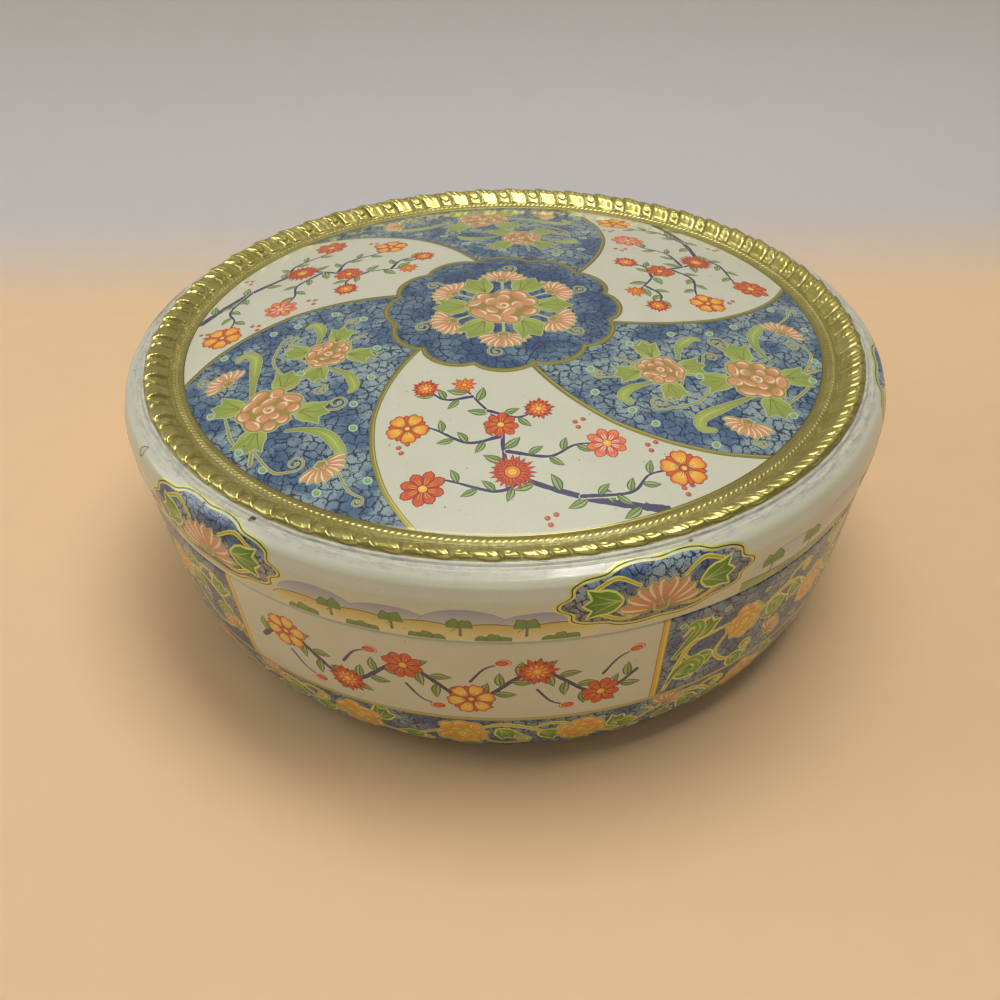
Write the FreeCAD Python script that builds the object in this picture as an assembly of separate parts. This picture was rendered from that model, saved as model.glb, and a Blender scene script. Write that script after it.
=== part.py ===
import FreeCAD, Part
import math
import os

# Round slip-lid cookie tin in tinplate, made of three pressings:
#   lid_pressing  one-piece drawn lid with a raised ring round its top panel
#   body_wall     shaped wall with a side seam and a reduced neck under the lid
#   base_plate    recessed base, double-seamed to the foot of the wall
# Frame: origin at the centre of the circle the tin stands on, +Z up the tin's axis,
# +X to the right and -Y towards the front. All sizes in millimetres.

ORIGIN = FreeCAD.Vector(0, 0, 0)
AXIS = FreeCAD.Vector(0, 0, 1)

# ---------------------------------------------------------------- driving sizes
sheet = 0.30                # tinplate thickness

# Lid
panel_z = 94.0              # crown of the domed top panel, the tin's highest point
panel_r = 104.4             # edge of the top panel
panel_edge_z = 83.0
crest_r = 115.6             # crest of the raised ring
crest_z = 86.3
lid_r_max = 125.0           # widest radius of the lid's shoulder
lid_z_max = 75.5            # height of that widest line
lid_edge_r = 123.15         # lower edge of the lid
lid_edge_z = 61.6
lid_hem_r = 121.35          # innermost face of the lid's inward hem
lid_hem_height = 1.7
lid_hem_fillet = 0.75

# Neck and ledge of the body, set from the lid
slip = 0.15                 # radial clearance between lid hem and neck
rest_gap = 0.15             # gap between lid hem and the ledge below it
neck_r = lid_hem_r - slip   # outer radius of the neck
ledge_z = lid_edge_z - rest_gap

# Curl at the top of the neck, turned inwards
curl_z = 77.8               # top of the curl
curl_inner_r = neck_r - 1.9
curl_foot_z = curl_z - 1.7
curl_end_r = 120.35
curl_fillet = 0.7

# Side of the wall
wall_top_r = 123.0          # wall's radius just under the lid
side_top_r = wall_top_r - 0.05
side_bend = (119.75, 31.5, 70.0)    # (r, z, fillet), shared by wall and side lap

# Side lap down the back of the wall
lap_width = 3.6             # arc length at the top of the wall
lap_depth = 0.60            # how far the lap stands inside the wall
lap_top_z = ledge_z - 4.0
lap_foot_r = 117.9
lap_foot_z = 22.4

base_panel_z = 4.2          # top of the recessed base panel

# Base seam, which is the foot ring. Mid-sheet radii of its five layers are one pitch
# apart, from the tin's axis outwards.
seam_z = 2.6                                # height of the seam
layer_gap = 0.04                            # gap between its folded layers
pitch = sheet + layer_gap
body_layer_r = 102.49                       # body wall
countersink_r = body_layer_r - pitch        # base's countersink wall
base_hook_r = body_layer_r + pitch          # base's hook
body_hook_r = body_layer_r + 2 * pitch      # body's hook
base_outer_r = body_layer_r + 3 * pitch     # base's outer wall

hook_fillet = pitch - sheet / 2             # inside radius of both hooks' bends
body_bend_z = 2 * sheet + layer_gap         # inside face of the body hook's bend
base_bend_z = seam_z - sheet                # inside face of the base hook's bend
body_hook_end_z = base_bend_z - 0.25
base_hook_end_z = body_bend_z + 0.3


# ---------------------------------------------------------------- sheet profiles
def offset_path(points, offset):
    """Segments of a filleted polyline of (r, z, fillet), moved sideways.

    A positive offset moves to the left of the direction of travel. A segment is two
    (r, z) points for a line and three for an arc. End fillets are not used."""
    directions = []
    for start, end in zip(points, points[1:]):
        run, rise = end[0] - start[0], end[1] - start[1]
        length = math.hypot(run, rise)
        directions.append((run / length, rise / length))

    def shift(point, direction, distance=offset):
        return (point[0] - direction[1] * distance, point[1] + direction[0] * distance)

    def along(point, direction, distance):
        return (point[0] + direction[0] * distance, point[1] + direction[1] * distance)

    segments = []
    cursor = shift(points[0], directions[0])

    def add_line(end):
        # Neighbouring fillets may meet and leave no straight between them.
        if math.hypot(end[0] - cursor[0], end[1] - cursor[1]) > 1e-6:
            segments.append((cursor, end))

    for corner, before, after in zip(points[1:-1], directions, directions[1:]):
        fillet = corner[2]
        turn = math.atan2(before[0] * after[1] - before[1] * after[0],
                          before[0] * after[0] + before[1] * after[1])
        side = 1 if turn > 0 else -1
        setback = fillet * math.tan(abs(turn) / 2)
        tangent_in = along(corner, before, -setback)
        tangent_out = along(corner, after, setback)
        centre = shift(tangent_in, before, fillet * side)
        radius = fillet - side * offset
        arc_start = shift(tangent_in, before)
        arc_end = shift(tangent_out, after)
        angle = math.atan2(arc_start[1] - centre[1], arc_start[0] - centre[0]) + turn / 2
        arc_mid = along(centre, (math.cos(angle), math.sin(angle)), radius)
        add_line(arc_start)
        segments.append((arc_start, arc_mid, arc_end))
        cursor = arc_end
    add_line(shift(points[-1], directions[-1]))
    return segments


def band(points, near, far):
    """Closed face in the XZ plane between two offsets of one filleted polyline."""
    there = offset_path(points, near)
    back = [segment[::-1] for segment in reversed(offset_path(points, far))]
    outline = there + [(there[-1][-1], back[0][0])] + back + [(back[-1][-1], there[0][0])]
    edges = []
    for segment in outline:
        ends = [FreeCAD.Vector(r, 0, z) for r, z in segment]
        if len(ends) == 2:
            edges.append(Part.makeLine(*ends))
        else:
            edges.append(Part.Arc(*ends).toShape())
    return Part.Face(Part.Wire(edges))


def spun(face, angle=360.0):
    """Solid made by turning a face about the tin's axis, starting at +X."""
    solid = face.revolve(ORIGIN, AXIS, angle).Solids[0]
    if solid.Volume < 0:
        solid.reverse()
    return solid


# ---------------------------------------------------------------- pieces
# In each full profile the points lie on one face of the sheet and the sheet lies to
# the right of the path. Columns: r, z, fillet radius.

def make_lid():
    # The top panel is a shallow dome, nearly one arc from the crown to its edge.
    dome_slope = 2 * math.atan((panel_z - panel_edge_z) / panel_r)
    dome_r = panel_r / math.sin(dome_slope)
    dome_tangent = dome_r * math.tan(dome_slope / 2)

    # Outer face, from the crown outwards over the ring and shoulder, down to the hem.
    outer_face = [
        (0.0, panel_z, 0),
        (dome_tangent, panel_z, dome_r - 4.0),
        (panel_r, panel_edge_z, 1.5),
        (105.3, 82.72, 0.4),            # crease where the dome meets the ring
        (106.1, 83.05, 0.5),
        (107.9, 83.5, 0.7),             # fine bead line
        (109.7, 82.95, 1.0),            # channel
        (111.0, 83.6, 1.2),
        (113.4, 85.6, 2.0),
        (crest_r, crest_z, 1.6),
        (117.05, 85.9, 0.7),
        (117.45, 84.75, 0.45),
        (118.2, 84.7, 0.35),            # lip outside the ring
        (118.7, 83.95, 0.4),            # cove
        (120.2, 83.95, 0.5),
        (123.5, 82.1, 4.0),             # shoulder
        (lid_r_max + 0.12, lid_z_max + 1.5, 7.0),
        (124.75, 69.5, 18.0),
        (lid_edge_r, lid_edge_z, lid_hem_fillet),
        (lid_hem_r, lid_edge_z, lid_hem_fillet),
        (lid_hem_r, lid_edge_z + lid_hem_height, 0),
    ]
    return spun(band(outer_face, 0, -sheet))


def make_side_lap():
    """Flattened lap centred on the back of the wall, standing inside it."""
    lap_line = [
        (side_top_r, lap_top_z, 0),
        side_bend,
        (lap_foot_r, lap_foot_z, 0),
    ]
    lap_angle = math.degrees(lap_width / wall_top_r)
    # The lap starts at mid-sheet, so that it overlaps the wall it is fused to.
    lap = spun(band(lap_line, -sheet / 2, -sheet - lap_depth), lap_angle)
    lap.rotate(ORIGIN, AXIS, 90 - lap_angle / 2)
    return lap


def make_body_wall():
    wall_face_r = body_layer_r + sheet / 2
    hook_face_r = body_hook_r - sheet / 2

    # Outer face, from inside the neck's curl, down the neck, out across the ledge,
    # down the shaped side and under to the seam, then up the hook.
    outer_face = [
        (curl_end_r, curl_foot_z, 0),
        (curl_inner_r, curl_foot_z, curl_fillet),
        (curl_inner_r, curl_z, curl_fillet),
        (neck_r, curl_z, curl_fillet),
        (neck_r, ledge_z, 0.35),
        (wall_top_r, ledge_z, 0.8),
        (side_top_r, ledge_z - 1.9, 1.5),
        side_bend,
        (117.1, 18.8, 40.0),
        (113.4, 9.4, 18.0),
        (109.3, 3.45, 5.0),
        (wall_face_r, 2.95, 0.45),
        (wall_face_r, body_bend_z, hook_fillet),
        (hook_face_r, body_bend_z, hook_fillet),
        (hook_face_r, body_hook_end_z, 0),
    ]
    shell = spun(band(outer_face, 0, -sheet))
    return shell.fuse(make_side_lap()).Solids[0]


def make_base_plate():
    countersink_face_r = countersink_r + sheet / 2
    outer_wall_face_r = base_outer_r - sheet / 2
    hook_face_r = base_hook_r + sheet / 2

    # Top face of the panel, down the countersink, out under the seam, up inside the
    # outer wall, then over and down the hook.
    seam_side_face = [
        (0.0, base_panel_z, 0),
        (countersink_face_r - 1.0, base_panel_z, 0.8),
        (countersink_face_r, base_panel_z - 1.6, 0.9),
        (countersink_face_r, sheet, 0.12),
        (outer_wall_face_r, sheet, 0.3),
        (outer_wall_face_r, base_bend_z, hook_fillet),
        (hook_face_r, base_bend_z, hook_fillet),
        (hook_face_r, base_hook_end_z, 0),
    ]
    return spun(band(seam_side_face, 0, -sheet))


# ---------------------------------------------------------------- export
parts = {
    "lid_pressing": make_lid(),
    "body_wall": make_body_wall(),
    "base_plate": make_base_plate(),
}

os.makedirs("parts", exist_ok=True)
for name, shape in parts.items():
    shape.exportStep("parts/" + name + ".step")
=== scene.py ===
import math

import bpy
import numpy as np
from mathutils import Matrix, Vector
from mathutils.geometry import delaunay_2d_cdt


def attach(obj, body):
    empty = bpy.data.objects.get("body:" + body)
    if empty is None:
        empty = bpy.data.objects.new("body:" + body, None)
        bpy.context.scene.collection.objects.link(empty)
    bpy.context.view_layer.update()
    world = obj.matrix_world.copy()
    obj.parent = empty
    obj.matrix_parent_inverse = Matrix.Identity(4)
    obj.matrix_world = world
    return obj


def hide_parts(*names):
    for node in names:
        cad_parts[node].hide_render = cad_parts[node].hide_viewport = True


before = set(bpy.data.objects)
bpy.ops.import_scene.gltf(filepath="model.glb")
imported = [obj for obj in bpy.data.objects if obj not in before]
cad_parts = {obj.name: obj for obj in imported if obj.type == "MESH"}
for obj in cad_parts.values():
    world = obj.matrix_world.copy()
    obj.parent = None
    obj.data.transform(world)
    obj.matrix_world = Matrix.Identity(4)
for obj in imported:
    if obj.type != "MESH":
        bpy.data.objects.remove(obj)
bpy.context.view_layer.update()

MM = 0.001
SHEET = 0.30  # tinplate thickness
TAU = 2 * math.pi

PANEL_R = 105.3  # radius of the print on the lid's top
PANEL_END = 105.9  # where the top panel meets the beaded ring
BEAD_WIDTH = 3.4  # the beaded ring, measured along the radius
BEAD_END = PANEL_END + BEAD_WIDTH
ROPE_END = (117.45, 84.75)  # (radius, height) where the rope ring meets the shoulder
SHOULDER_R = 123.0  # unrolling radius of the lid's shoulder
BODY_R = 119.7  # unrolling radius of the body
BAY = 60  # degrees from one bay of the sides to the next
BAYS = range(-3, 3)
BAY0 = -10.3  # centre azimuth of the shoulder's front bay
BODY_BAY0 = BAY0 + 0.6
FOOT_DEPTH = 35.2  # arc length from the ledge's corner down to the foot band


# ---------------------------------------------------------------------------------------- inks
def linear(rgb):
    """Linear light from sRGB values of 0 to 255."""
    c = np.asarray(rgb, float) / 255.0
    return np.where(c <= 0.04045, c / 12.92, ((c + 0.055) / 1.055) ** 2.4)


GAIN = 1.04  # turns the inks, written as they look under the top light, into reflectance
INKS = {
    "cream": (199, 198, 175), "cream_shade": (186, 184, 160), "halo": (206, 206, 192),
    "blue": (98, 124, 142), "blue_deep": (70, 98, 128), "blue_side": (88, 112, 140),
    "blue_wing": (104, 126, 152), "blue_low": (98, 104, 102), "navy": (52, 66, 104),
    "gold": (157, 150, 70), "gold_light": (186, 180, 112), "gold_dark": (118, 106, 44),
    "gold_bright": (206, 204, 112), "yellow": (200, 190, 92),
    "scroll": (146, 142, 78), "scroll_pale": (178, 180, 128),
    "leaf": (130, 149, 62), "leaf_light": (158, 173, 80), "leaf_pale": (172, 184, 104),
    "sage": (124, 148, 74), "sage_light": (158, 176, 104), "sage_dark": (54, 80, 42),
    "teal": (62, 100, 92), "dot": (116, 160, 96), "dot_ring": (176, 194, 176),
    "peach": (207, 150, 106), "peach_dark": (184, 122, 74), "peach_light": (230, 208, 172),
    "bronze": (152, 130, 58), "olive_black": (70, 58, 26),
    "leaf_side": (72, 122, 20), "side_green": (104, 152, 30), "side_yellow": (214, 216, 110),
    "side_amber": (194, 164, 30), "side_orange": (208, 104, 28), "side_peach": (228, 168, 88),
    "vine_dark": (160, 122, 34), "amber_line": (216, 166, 44),
    "red": (190, 52, 16), "red_dark": (146, 36, 14), "red_soft": (208, 76, 34),
    "orange": (208, 96, 32), "orange_light": (226, 140, 88), "amber": (226, 146, 36),
    "sun": (232, 178, 54), "lemon": (232, 200, 104), "white": (222, 220, 204),
    "indigo": (58, 54, 86), "berry": (190, 78, 48),
    "lilac": (150, 150, 170), "lilac_light": (188, 188, 190),
    "hill": (198, 170, 68), "hill_light": (214, 208, 160),
    "bush": (96, 134, 62), "bush_dark": (62, 94, 48), "bark": (104, 104, 82),
    "olive": (104, 90, 42),
}
CRACKLED = {"blue", "blue_deep", "blue_side", "blue_wing", "blue_low"}
GILT = {  # how metallic an ink is
    "gold": 1, "gold_light": 0.7, "gold_dark": 0.8, "gold_bright": 0.45, "scroll": 0.1,
    "scroll_pale": 0.1, "olive_black": 0.3, "side_amber": 0.1, "vine_dark": 0.15,
    "amber_line": 0.1,
}
INK_ID = {name: i for i, name in enumerate(INKS)}
INK_RGB = np.array([linear(rgb) * GAIN for rgb in INKS.values()])
INK_CODE = np.array([(name in CRACKLED, GILT.get(name, 0), 0.0) for name in INKS], float)


# ------------------------------------------------------------------------------- drawing tools
def placement(x=0.0, y=0.0, degrees=0.0):
    """A matrix that turns, then moves."""
    a = math.radians(degrees)
    c, s = math.cos(a), math.sin(a)
    return np.array([[c, -s, x], [s, c, y], [0, 0, 1.0]])


def spline(points, step=0.9):
    """A smooth open curve through the points, about `step` mm between samples."""
    p = np.asarray(points, float)
    if len(p) < 3:
        n = max(2, int(np.hypot(*(p[1] - p[0])) / step) + 1)
        return p[0] + (p[1] - p[0]) * np.linspace(0, 1, n)[:, None]
    q = np.vstack([2 * p[0] - p[1], p, 2 * p[-1] - p[-2]])
    out = []
    for i in range(1, len(q) - 2):
        n = max(2, int(np.hypot(*(q[i + 1] - q[i])) / step) + 1)
        t = np.linspace(0, 1, n, endpoint=False)[:, None]
        a, b, c, d = q[i - 1], q[i], q[i + 1], q[i + 2]
        out.append(
            0.5
            * (
                2 * b
                + (c - a) * t
                + (2 * a - 5 * b + 4 * c - d) * t**2
                + (3 * b - a - 3 * c + d) * t**3
            )
        )
    return np.vstack(out + [q[-2][None]])


def ellipse(rx, ry, n, cx=0.0, cy=0.0, start=0.0):
    t = np.arange(n) * TAU / n + start
    return np.stack([cx + rx * np.cos(t), cy + ry * np.sin(t)], 1)


def box(half, top, bottom):
    return [(-half, top), (half, top), (half, bottom), (-half, bottom)]


def half_width(kind, t):
    """Outline of a petal or leaf along its length, 0 to 1."""
    if kind == "point":
        return np.sin(math.pi * t**0.78) ** 0.9 * (1 - 0.15 * t)
    if kind == "leaf":
        return np.sin(math.pi * t**0.85) ** 0.95
    # round
    return np.sqrt(np.clip(1 - ((t - 0.56) / 0.44) ** 2, 0, 1)) * (t > 0.56) + (
        t <= 0.56
    ) * np.sin(math.pi / 2 * t / 0.56) ** 0.8


def blade(kind, start, end, width, n=7, bend=0.0):
    """A petal or leaf from x=start to x=end."""
    t = np.linspace(0, 1, n)
    half = half_width(kind, t) * width / 2
    half[-1] = 0
    x = start + (end - start) * t
    mid = bend * (end - start) * 4 * t * (1 - t)
    return np.vstack([np.stack([x, mid + half], 1), np.stack([x, mid - half], 1)[-2:0:-1]])


class Pen:
    """Draws flat art in painter's order, in mm, from its own place on a sheet.

    `coarse` is how much sparser than on the lid a brush stroke is sampled.
    """

    def __init__(self, coarse=1.0, shapes=None, place=np.eye(3)):
        self.shapes = [] if shapes is None else shapes  # (points, ink, wash)
        self.place = place
        self.coarse = coarse
        self.fine = coarse == 1.0

    def on(self, place):
        return Pen(self.coarse, self.shapes, self.place @ place)

    def at(self, x=0.0, y=0.0, turn=0.0):
        return self.on(placement(x, y, turn))

    def at_azimuth(self, degrees, radius):
        """A place on an unrolled side."""
        return self.at(math.radians(degrees) * radius, 0.0)

    def put(self, points):
        p = np.asarray(points, float).reshape(-1, 2)
        return p @ self.place[:2, :2].T + self.place[:2, 2]

    def fill(self, points, ink, to=None, along=None):
        """`to` and `along` give a wash from ink to a second ink between two local points."""
        wash = None
        if to is not None:
            ends = self.put(along)
            wash = (ends[0], ends[1] - ends[0], INK_ID[to])
        self.shapes.append((self.put(points), INK_ID[ink], wash))

    def dot(self, x, y, radius, ink, n=9, ry=None):
        self.fill(ellipse(radius, ry or radius, n, x, y), ink)

    def stroke(self, path, width, ink, to=None):
        """A brush stroke. width is one number, or widths at equal shares of the length."""
        p = np.asarray(path, float)
        # a repeated point has no direction
        p = p[np.r_[True, np.hypot(*np.diff(p, axis=0).T) > 1e-4]]
        d = np.gradient(p, axis=0)
        d /= np.maximum(np.hypot(d[:, 0], d[:, 1]), 1e-9)[:, None]
        side = np.stack([-d[:, 1], d[:, 0]], 1)
        share = np.r_[0, np.cumsum(np.hypot(*np.diff(p, axis=0).T))]
        share /= share[-1]
        widths = np.atleast_1d(np.asarray(width, float))
        half = np.interp(share, np.linspace(0, 1, len(widths)), widths)[:, None] / 2
        start = p[0] - d[0] * half[0] * 0.7
        end = p[-1] + d[-1] * half[-1] * 0.7
        outline = np.vstack([start[None], p + side * half, end[None], (p - side * half)[::-1]])
        self.fill(outline, ink, to, (p[0], p[-1]) if to else None)

    def line(self, points, width, ink, step=0.9, to=None):
        """A brush stroke along a smooth curve through the points."""
        self.stroke(spline(points, step * self.coarse), width, ink, to)


# ------------------------------------------------------------------------- leaves and flowers
# Each grows along +x from the pen's place, or sits centred on it. A flower's size is its radius.
SIDE_LINE = dict(ink="side_yellow", core="side_amber")
SIDE_LEAF = dict(fill="leaf_side", light="side_green", edge="side_yellow")
SIDE_IVY = dict(SIDE_LEAF, vein="leaf_pale", grow=0.66)
WARM = dict(fill="side_peach", dark="side_orange", light="side_yellow", edge="side_amber")


def swirl(centre, radius, start, turns, sense=1, inner=0.22, step=26):
    """Points of a spiral that winds in to its centre, `step` degrees apart."""
    n = max(8, int(abs(turns) * 360 / step))
    t = np.linspace(0, 1, n)
    reach = radius * (1 - t) ** 0.8 * (1 - inner) + radius * inner
    a = math.radians(start) + sense * t * turns * TAU
    return np.stack([centre[0] + reach * np.cos(a), centre[1] + reach * np.sin(a)], 1)


def scroll(pen, stem, radius, turns, sense, width, ink="scroll_pale", core="scroll", bulb=True):
    """A stem that runs on into a spiral. sense 1 winds to the left, -1 to the right."""
    stem = np.asarray(stem, float)
    d = stem[-1] - stem[-2]
    d /= np.hypot(*d)
    centre = stem[-1] + sense * radius * np.array([-d[1], d[0]])
    start = math.degrees(math.atan2(*(stem[-1] - centre)[::-1]))
    curl = swirl(centre, radius, start, turns, sense, step=26 if pen.fine else 34)
    path = np.vstack([spline(stem, 1.0 * pen.coarse**2)[:-1], curl])
    for shares, bulb_share, n, colour in (
        ((0.9, 1.25, 1.0, 0.75), 0.9, 9, ink),
        ((0.4, 0.62, 0.48, 0.34), 0.5, 7, core),
    ):
        pen.stroke(path, width * np.array(shares), colour)
        if bulb:
            pen.dot(curl[-1][0], curl[-1][1], width * bulb_share, colour, n)


def leaf(pen, length, width, bend, fill="sage", light="sage_light", edge="sage_dark"):
    """A leaf with a dark edge, a two-tone blade and a midrib."""
    n = 8 if pen.fine else 6
    pen.fill(blade("leaf", 0, length, width, n, bend), edge)
    pen.fill(blade("leaf", 0.05 * length, 0.95 * length, width * 0.74, n, bend), fill)
    t = np.linspace(0.08, 0.9, n - 2)
    arch = bend * length * 4 * t * (1 - t)
    mid = np.stack([t * length, arch], 1)
    upper = np.stack([t * length, arch + half_width("leaf", t) * width * 0.29], 1)
    pen.fill(np.vstack([mid, upper[::-1]]), light)
    pen.stroke(mid, [0.34, 0.3, 0.14], edge)


# the ivy leaf's outline and the tips of its veins, (x, y) for a leaf of length 1
IVY = (
    (0, 0), (0.06, 0.15), (0.22, 0.33), (0.44, 0.42), (0.64, 0.42), (0.80, 0.46), (1.0, 0.53),
    (0.90, 0.38), (0.84, 0.24), (0.96, 0.14), (1.10, 0.02), (0.96, -0.08), (0.85, -0.18),
    (0.89, -0.32), (0.98, -0.50), (0.78, -0.44), (0.62, -0.41), (0.42, -0.41), (0.20, -0.31),
    (0.06, -0.14),
)
IVY_VEINS = ((0.80, 0.36), (0.92, 0.02), (0.78, -0.33))


def ivy(pen, length, fill="leaf", light="leaf_light", edge="scroll_pale", vein="gold",
        grow=0.42):
    """A leaf that is round at the stalk and ends in three teeth."""
    p = np.array(IVY) * length
    pen.stroke(np.vstack([p, p[:1]]), 2 * grow, edge)
    pen.fill(p, fill, light, ((length, 0), (0, 0)))
    for x, y in IVY_VEINS:
        points = [(length * 0.06, 0), (length * x * 0.55, length * y * 0.42),
                  (length * x, length * y)]
        pen.line(points, [0.5, 0.36, 0.14], vein, step=1.8)


def comma(pen, path, width, fill="leaf", light="leaf_light", edge="scroll_pale"):
    """A leaf like a comma: a thin stalk swells into a rounded head that curls back."""
    widths = np.array([0.14, 0.34, 0.72, 1.0, 0.88, 0.34]) * width
    pen.line(path, widths + 1.0, edge)
    pen.line(path, widths + 0.42, "gold")
    pen.line(path, widths, fill, to=light)
    p = spline(path, 1.0)
    n = len(p)
    shine = np.array([0.1, 0.7, 1.0, 0.3]) * widths.max() * 0.22
    pen.stroke(p[int(n * 0.38) : int(n * 0.86)], shine, "leaf_pale")


def peony(pen, size, seed, fill="peach", dark="peach_dark", light="peach_light", edge="bronze"):
    """Loose rounded petals of uneven size round a spiral heart, inside one lumpy outline."""
    rs = np.random.RandomState(seed)
    petals = []
    # where a whorl sits, its petal count, and a petal's length and width, as shares of the size
    for share, count, long_share, wide_share in ((0.76, 9, 0.38, 0.50), (0.40, 5, 0.32, 0.44)):
        turn = rs.uniform(0, 360)
        for i in range(count):
            scale, aspect = rs.uniform(0.76, 1.22), rs.uniform(0.72, 1.28)
            place = placement(0, 0, turn + 360.0 * (i + rs.uniform(-0.16, 0.16)) / count)
            place = place @ placement(size * share * rs.uniform(0.90, 1.06), 0,
                                      rs.uniform(-42, 42))
            rx = size * long_share / 2 * scale * aspect
            ry = size * wide_share / 2 * scale / aspect
            petals.append((place, rx, ry, share > 0.6))
    # the outline: the farthest point in each direction that an outer petal covers
    n = 60 if pen.fine else 38
    az = np.arange(n) * TAU / n
    far = np.linspace(0.5, 1.4, 50) * size
    x, y = far * np.cos(az)[:, None], far * np.sin(az)[:, None]
    for grow, ink in ((size * 0.058 + 0.42, "scroll_pale"), (size * 0.058, edge)):
        inside = np.zeros(x.shape, bool)
        for place, rx, ry, outer in petals:
            if outer:
                q = np.linalg.inv(place)
                inside |= (
                    ((q[0, 0] * x + q[0, 1] * y + q[0, 2]) / (rx + grow)) ** 2
                    + ((q[1, 0] * x + q[1, 1] * y + q[1, 2]) / (ry + grow)) ** 2
                ) < 1
        r = np.where(inside, far, 0.76 * size).max(1)
        pen.fill(np.stack([r * np.cos(az), r * np.sin(az)], 1), ink)
    crescent = np.array([0.1, 0.7, 1.0, 0.6, 0.1]) * size * 0.082
    for place, rx, ry, _ in petals:
        petal = pen.on(place)
        petal.fill(ellipse(rx, ry, 10 if pen.fine else 8), fill, dark,
                   ((rx * 0.4, 0), (-rx * 1.3, 0)))
        turn = rs.choice([-60, 10, 40, 150])
        t = np.radians(np.linspace(-80, 80, 6 if pen.fine else 5) + turn)
        petal.stroke(np.stack([rx * 0.66 * np.cos(t), ry * 0.66 * np.sin(t)], 1), crescent,
                     light)
    pen.dot(0, 0, size * 0.20, fill, 11)
    heart = swirl((0, 0), size * 0.19, 200, 1.05, inner=0.25, step=40)
    pen.stroke(heart, np.array([0.3, 1.0, 0.8, 0.4]) * size * 0.075, light)
    pen.dot(size * 0.03, -size * 0.02, size * 0.055, edge, 7)


def fan(pen, size, spread, seed):
    """A half flower seen from the side, opening along +x: slim petals with pale edges."""
    rs = np.random.RandomState(seed)
    n = 9 if pen.fine else 7
    width = size * (0.34 if pen.fine else 0.42)
    petals = []
    for i in sorted(range(n), key=lambda i: -abs(i - (n - 1) / 2)):
        a = -spread + 2 * spread * i / (n - 1)
        petals.append((a, size * (0.90 + 0.12 * abs(a) / 90) * rs.uniform(0.95, 1.04)))
    for grow, ink in ((0.50, "scroll_pale"), (0.14, "bronze")):
        for a, r in petals:
            pen.at(turn=a).fill(blade("round", size * 0.06, r + grow, width + 1.6 * grow, 6), ink)
    for a, r in petals:
        petal = pen.at(turn=a)
        petal.fill(blade("round", size * 0.20, r - 0.12, width * 0.78, 6), "peach_dark",
                   "peach", ((size * 0.1, 0), (r * 0.85, 0)))
        s = 1 if a >= 0 else -1
        shine = [(size * 0.34, s * width * 0.10), (size * 0.62, s * width * 0.22),
                 (r - width * 0.34, s * width * 0.20), (r - width * 0.16, -s * width * 0.02)]
        petal.line(shine, np.array([0.12, 0.7, 0.9, 0.3]) * width * 0.26, "peach_light", step=1.5)
    # the calyx: base, shoulder, tooth (x, y), notch (x, y) and middle tooth
    for base, x, y, tx, ty, nx, ny, tip, ink in (
        (-1.8, -0.6, 2.2, 0.22, 0.22, 0.14, 0.8, 0.30, "scroll_pale"),
        (-1.2, -0.4, 1.6, 0.17, 0.15, 0.10, 0.4, 0.23, "bronze"),
    ):
        upper = [(x, y), (size * tx, size * ty), (size * nx, ny)]
        lower = [(px, -py) for px, py in upper[::-1]]
        pen.fill([(base, 0)] + upper + [(size * tip, 0)] + lower, ink)


def star(pen, size, petals, seed, heart):
    """A daisy with pointed petals in two rows: red outside, amber inside to `heart`."""
    rs = np.random.RandomState(seed)
    turn = rs.uniform(0, 30)
    between = [pen.at(turn=turn + 360.0 * (i + 0.5) / petals) for i in range(petals)]
    for petal in between:
        petal.fill(blade("point", size * 0.15, size * 0.86, size * 0.32, 5), "red_dark")
    for i in range(petals):
        petal = pen.at(turn=turn + 360.0 * i / petals + rs.uniform(-3, 3))
        r = size * rs.uniform(0.92, 1.06)
        petal.fill(blade("point", size * 0.12, r, size * 0.40, 6), "red_dark")
        petal.fill(blade("point", size * 0.14, r * 0.94, size * 0.31, 6), "red", "orange",
                   ((size * 0.9, 0), (size * 0.3, 0)))
    for petal in between:
        petal.fill(blade("point", size * 0.1, size * (heart + 0.05), size * 0.23, 5), "red")
        petal.fill(blade("point", size * 0.12, size * heart, size * 0.15, 5), "amber", "lemon",
                   ((size * 0.2, 0), (size * heart, 0)))
    pen.dot(0, 0, size * 0.24, "orange", 11)
    pen.dot(0, 0, size * 0.18, "sun", 10)
    pen.dot(-size * 0.03, size * 0.03, size * 0.08, "lemon", 7)


def small_star(pen, size, seed):
    """A pointed daisy with a single row of nine petals."""
    rs = np.random.RandomState(seed)
    turn = rs.uniform(0, 30)
    for i in range(9):
        petal = pen.at(turn=turn + 360.0 * i / 9 + rs.uniform(-5, 5))
        r = size * rs.uniform(0.86, 1.08)
        petal.fill(blade("point", size * 0.10, r, size * 0.46, 7), "red")
        petal.fill(blade("point", size * 0.16, r * 0.88, size * 0.28, 6), "orange", "amber",
                   ((size * 0.8, 0), (size * 0.3, 0)))
    pen.dot(0, 0, size * 0.26, "red", 10)
    pen.dot(0, 0, size * 0.18, "sun", 9)


def mum(pen, size, seed):
    """A red chrysanthemum: two rows of narrow pointed petals and a ringed heart."""
    rs = np.random.RandomState(seed)
    petals = 20
    for share, offset in ((1.0, 0.0), (0.78, 0.5)):
        for i in range(petals):
            petal = pen.at(turn=360.0 * (i + offset) / petals + rs.uniform(-2, 2))
            r = size * share * rs.uniform(0.93, 1.06)
            petal.fill(blade("point", size * 0.2, r, size * 0.24, 5), "red_dark")
            petal.fill(blade("point", size * 0.2, r * 0.93, size * 0.15, 5), "red", "orange",
                       ((r, 0), (size * 0.3, 0)))
    for share, ink, n in ((0.36, "red_dark", 14), (0.31, "amber", 14), (0.235, "orange", 12),
                          (0.19, "sun", 11)):
        pen.dot(0, 0, size * share, ink, n)


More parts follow.
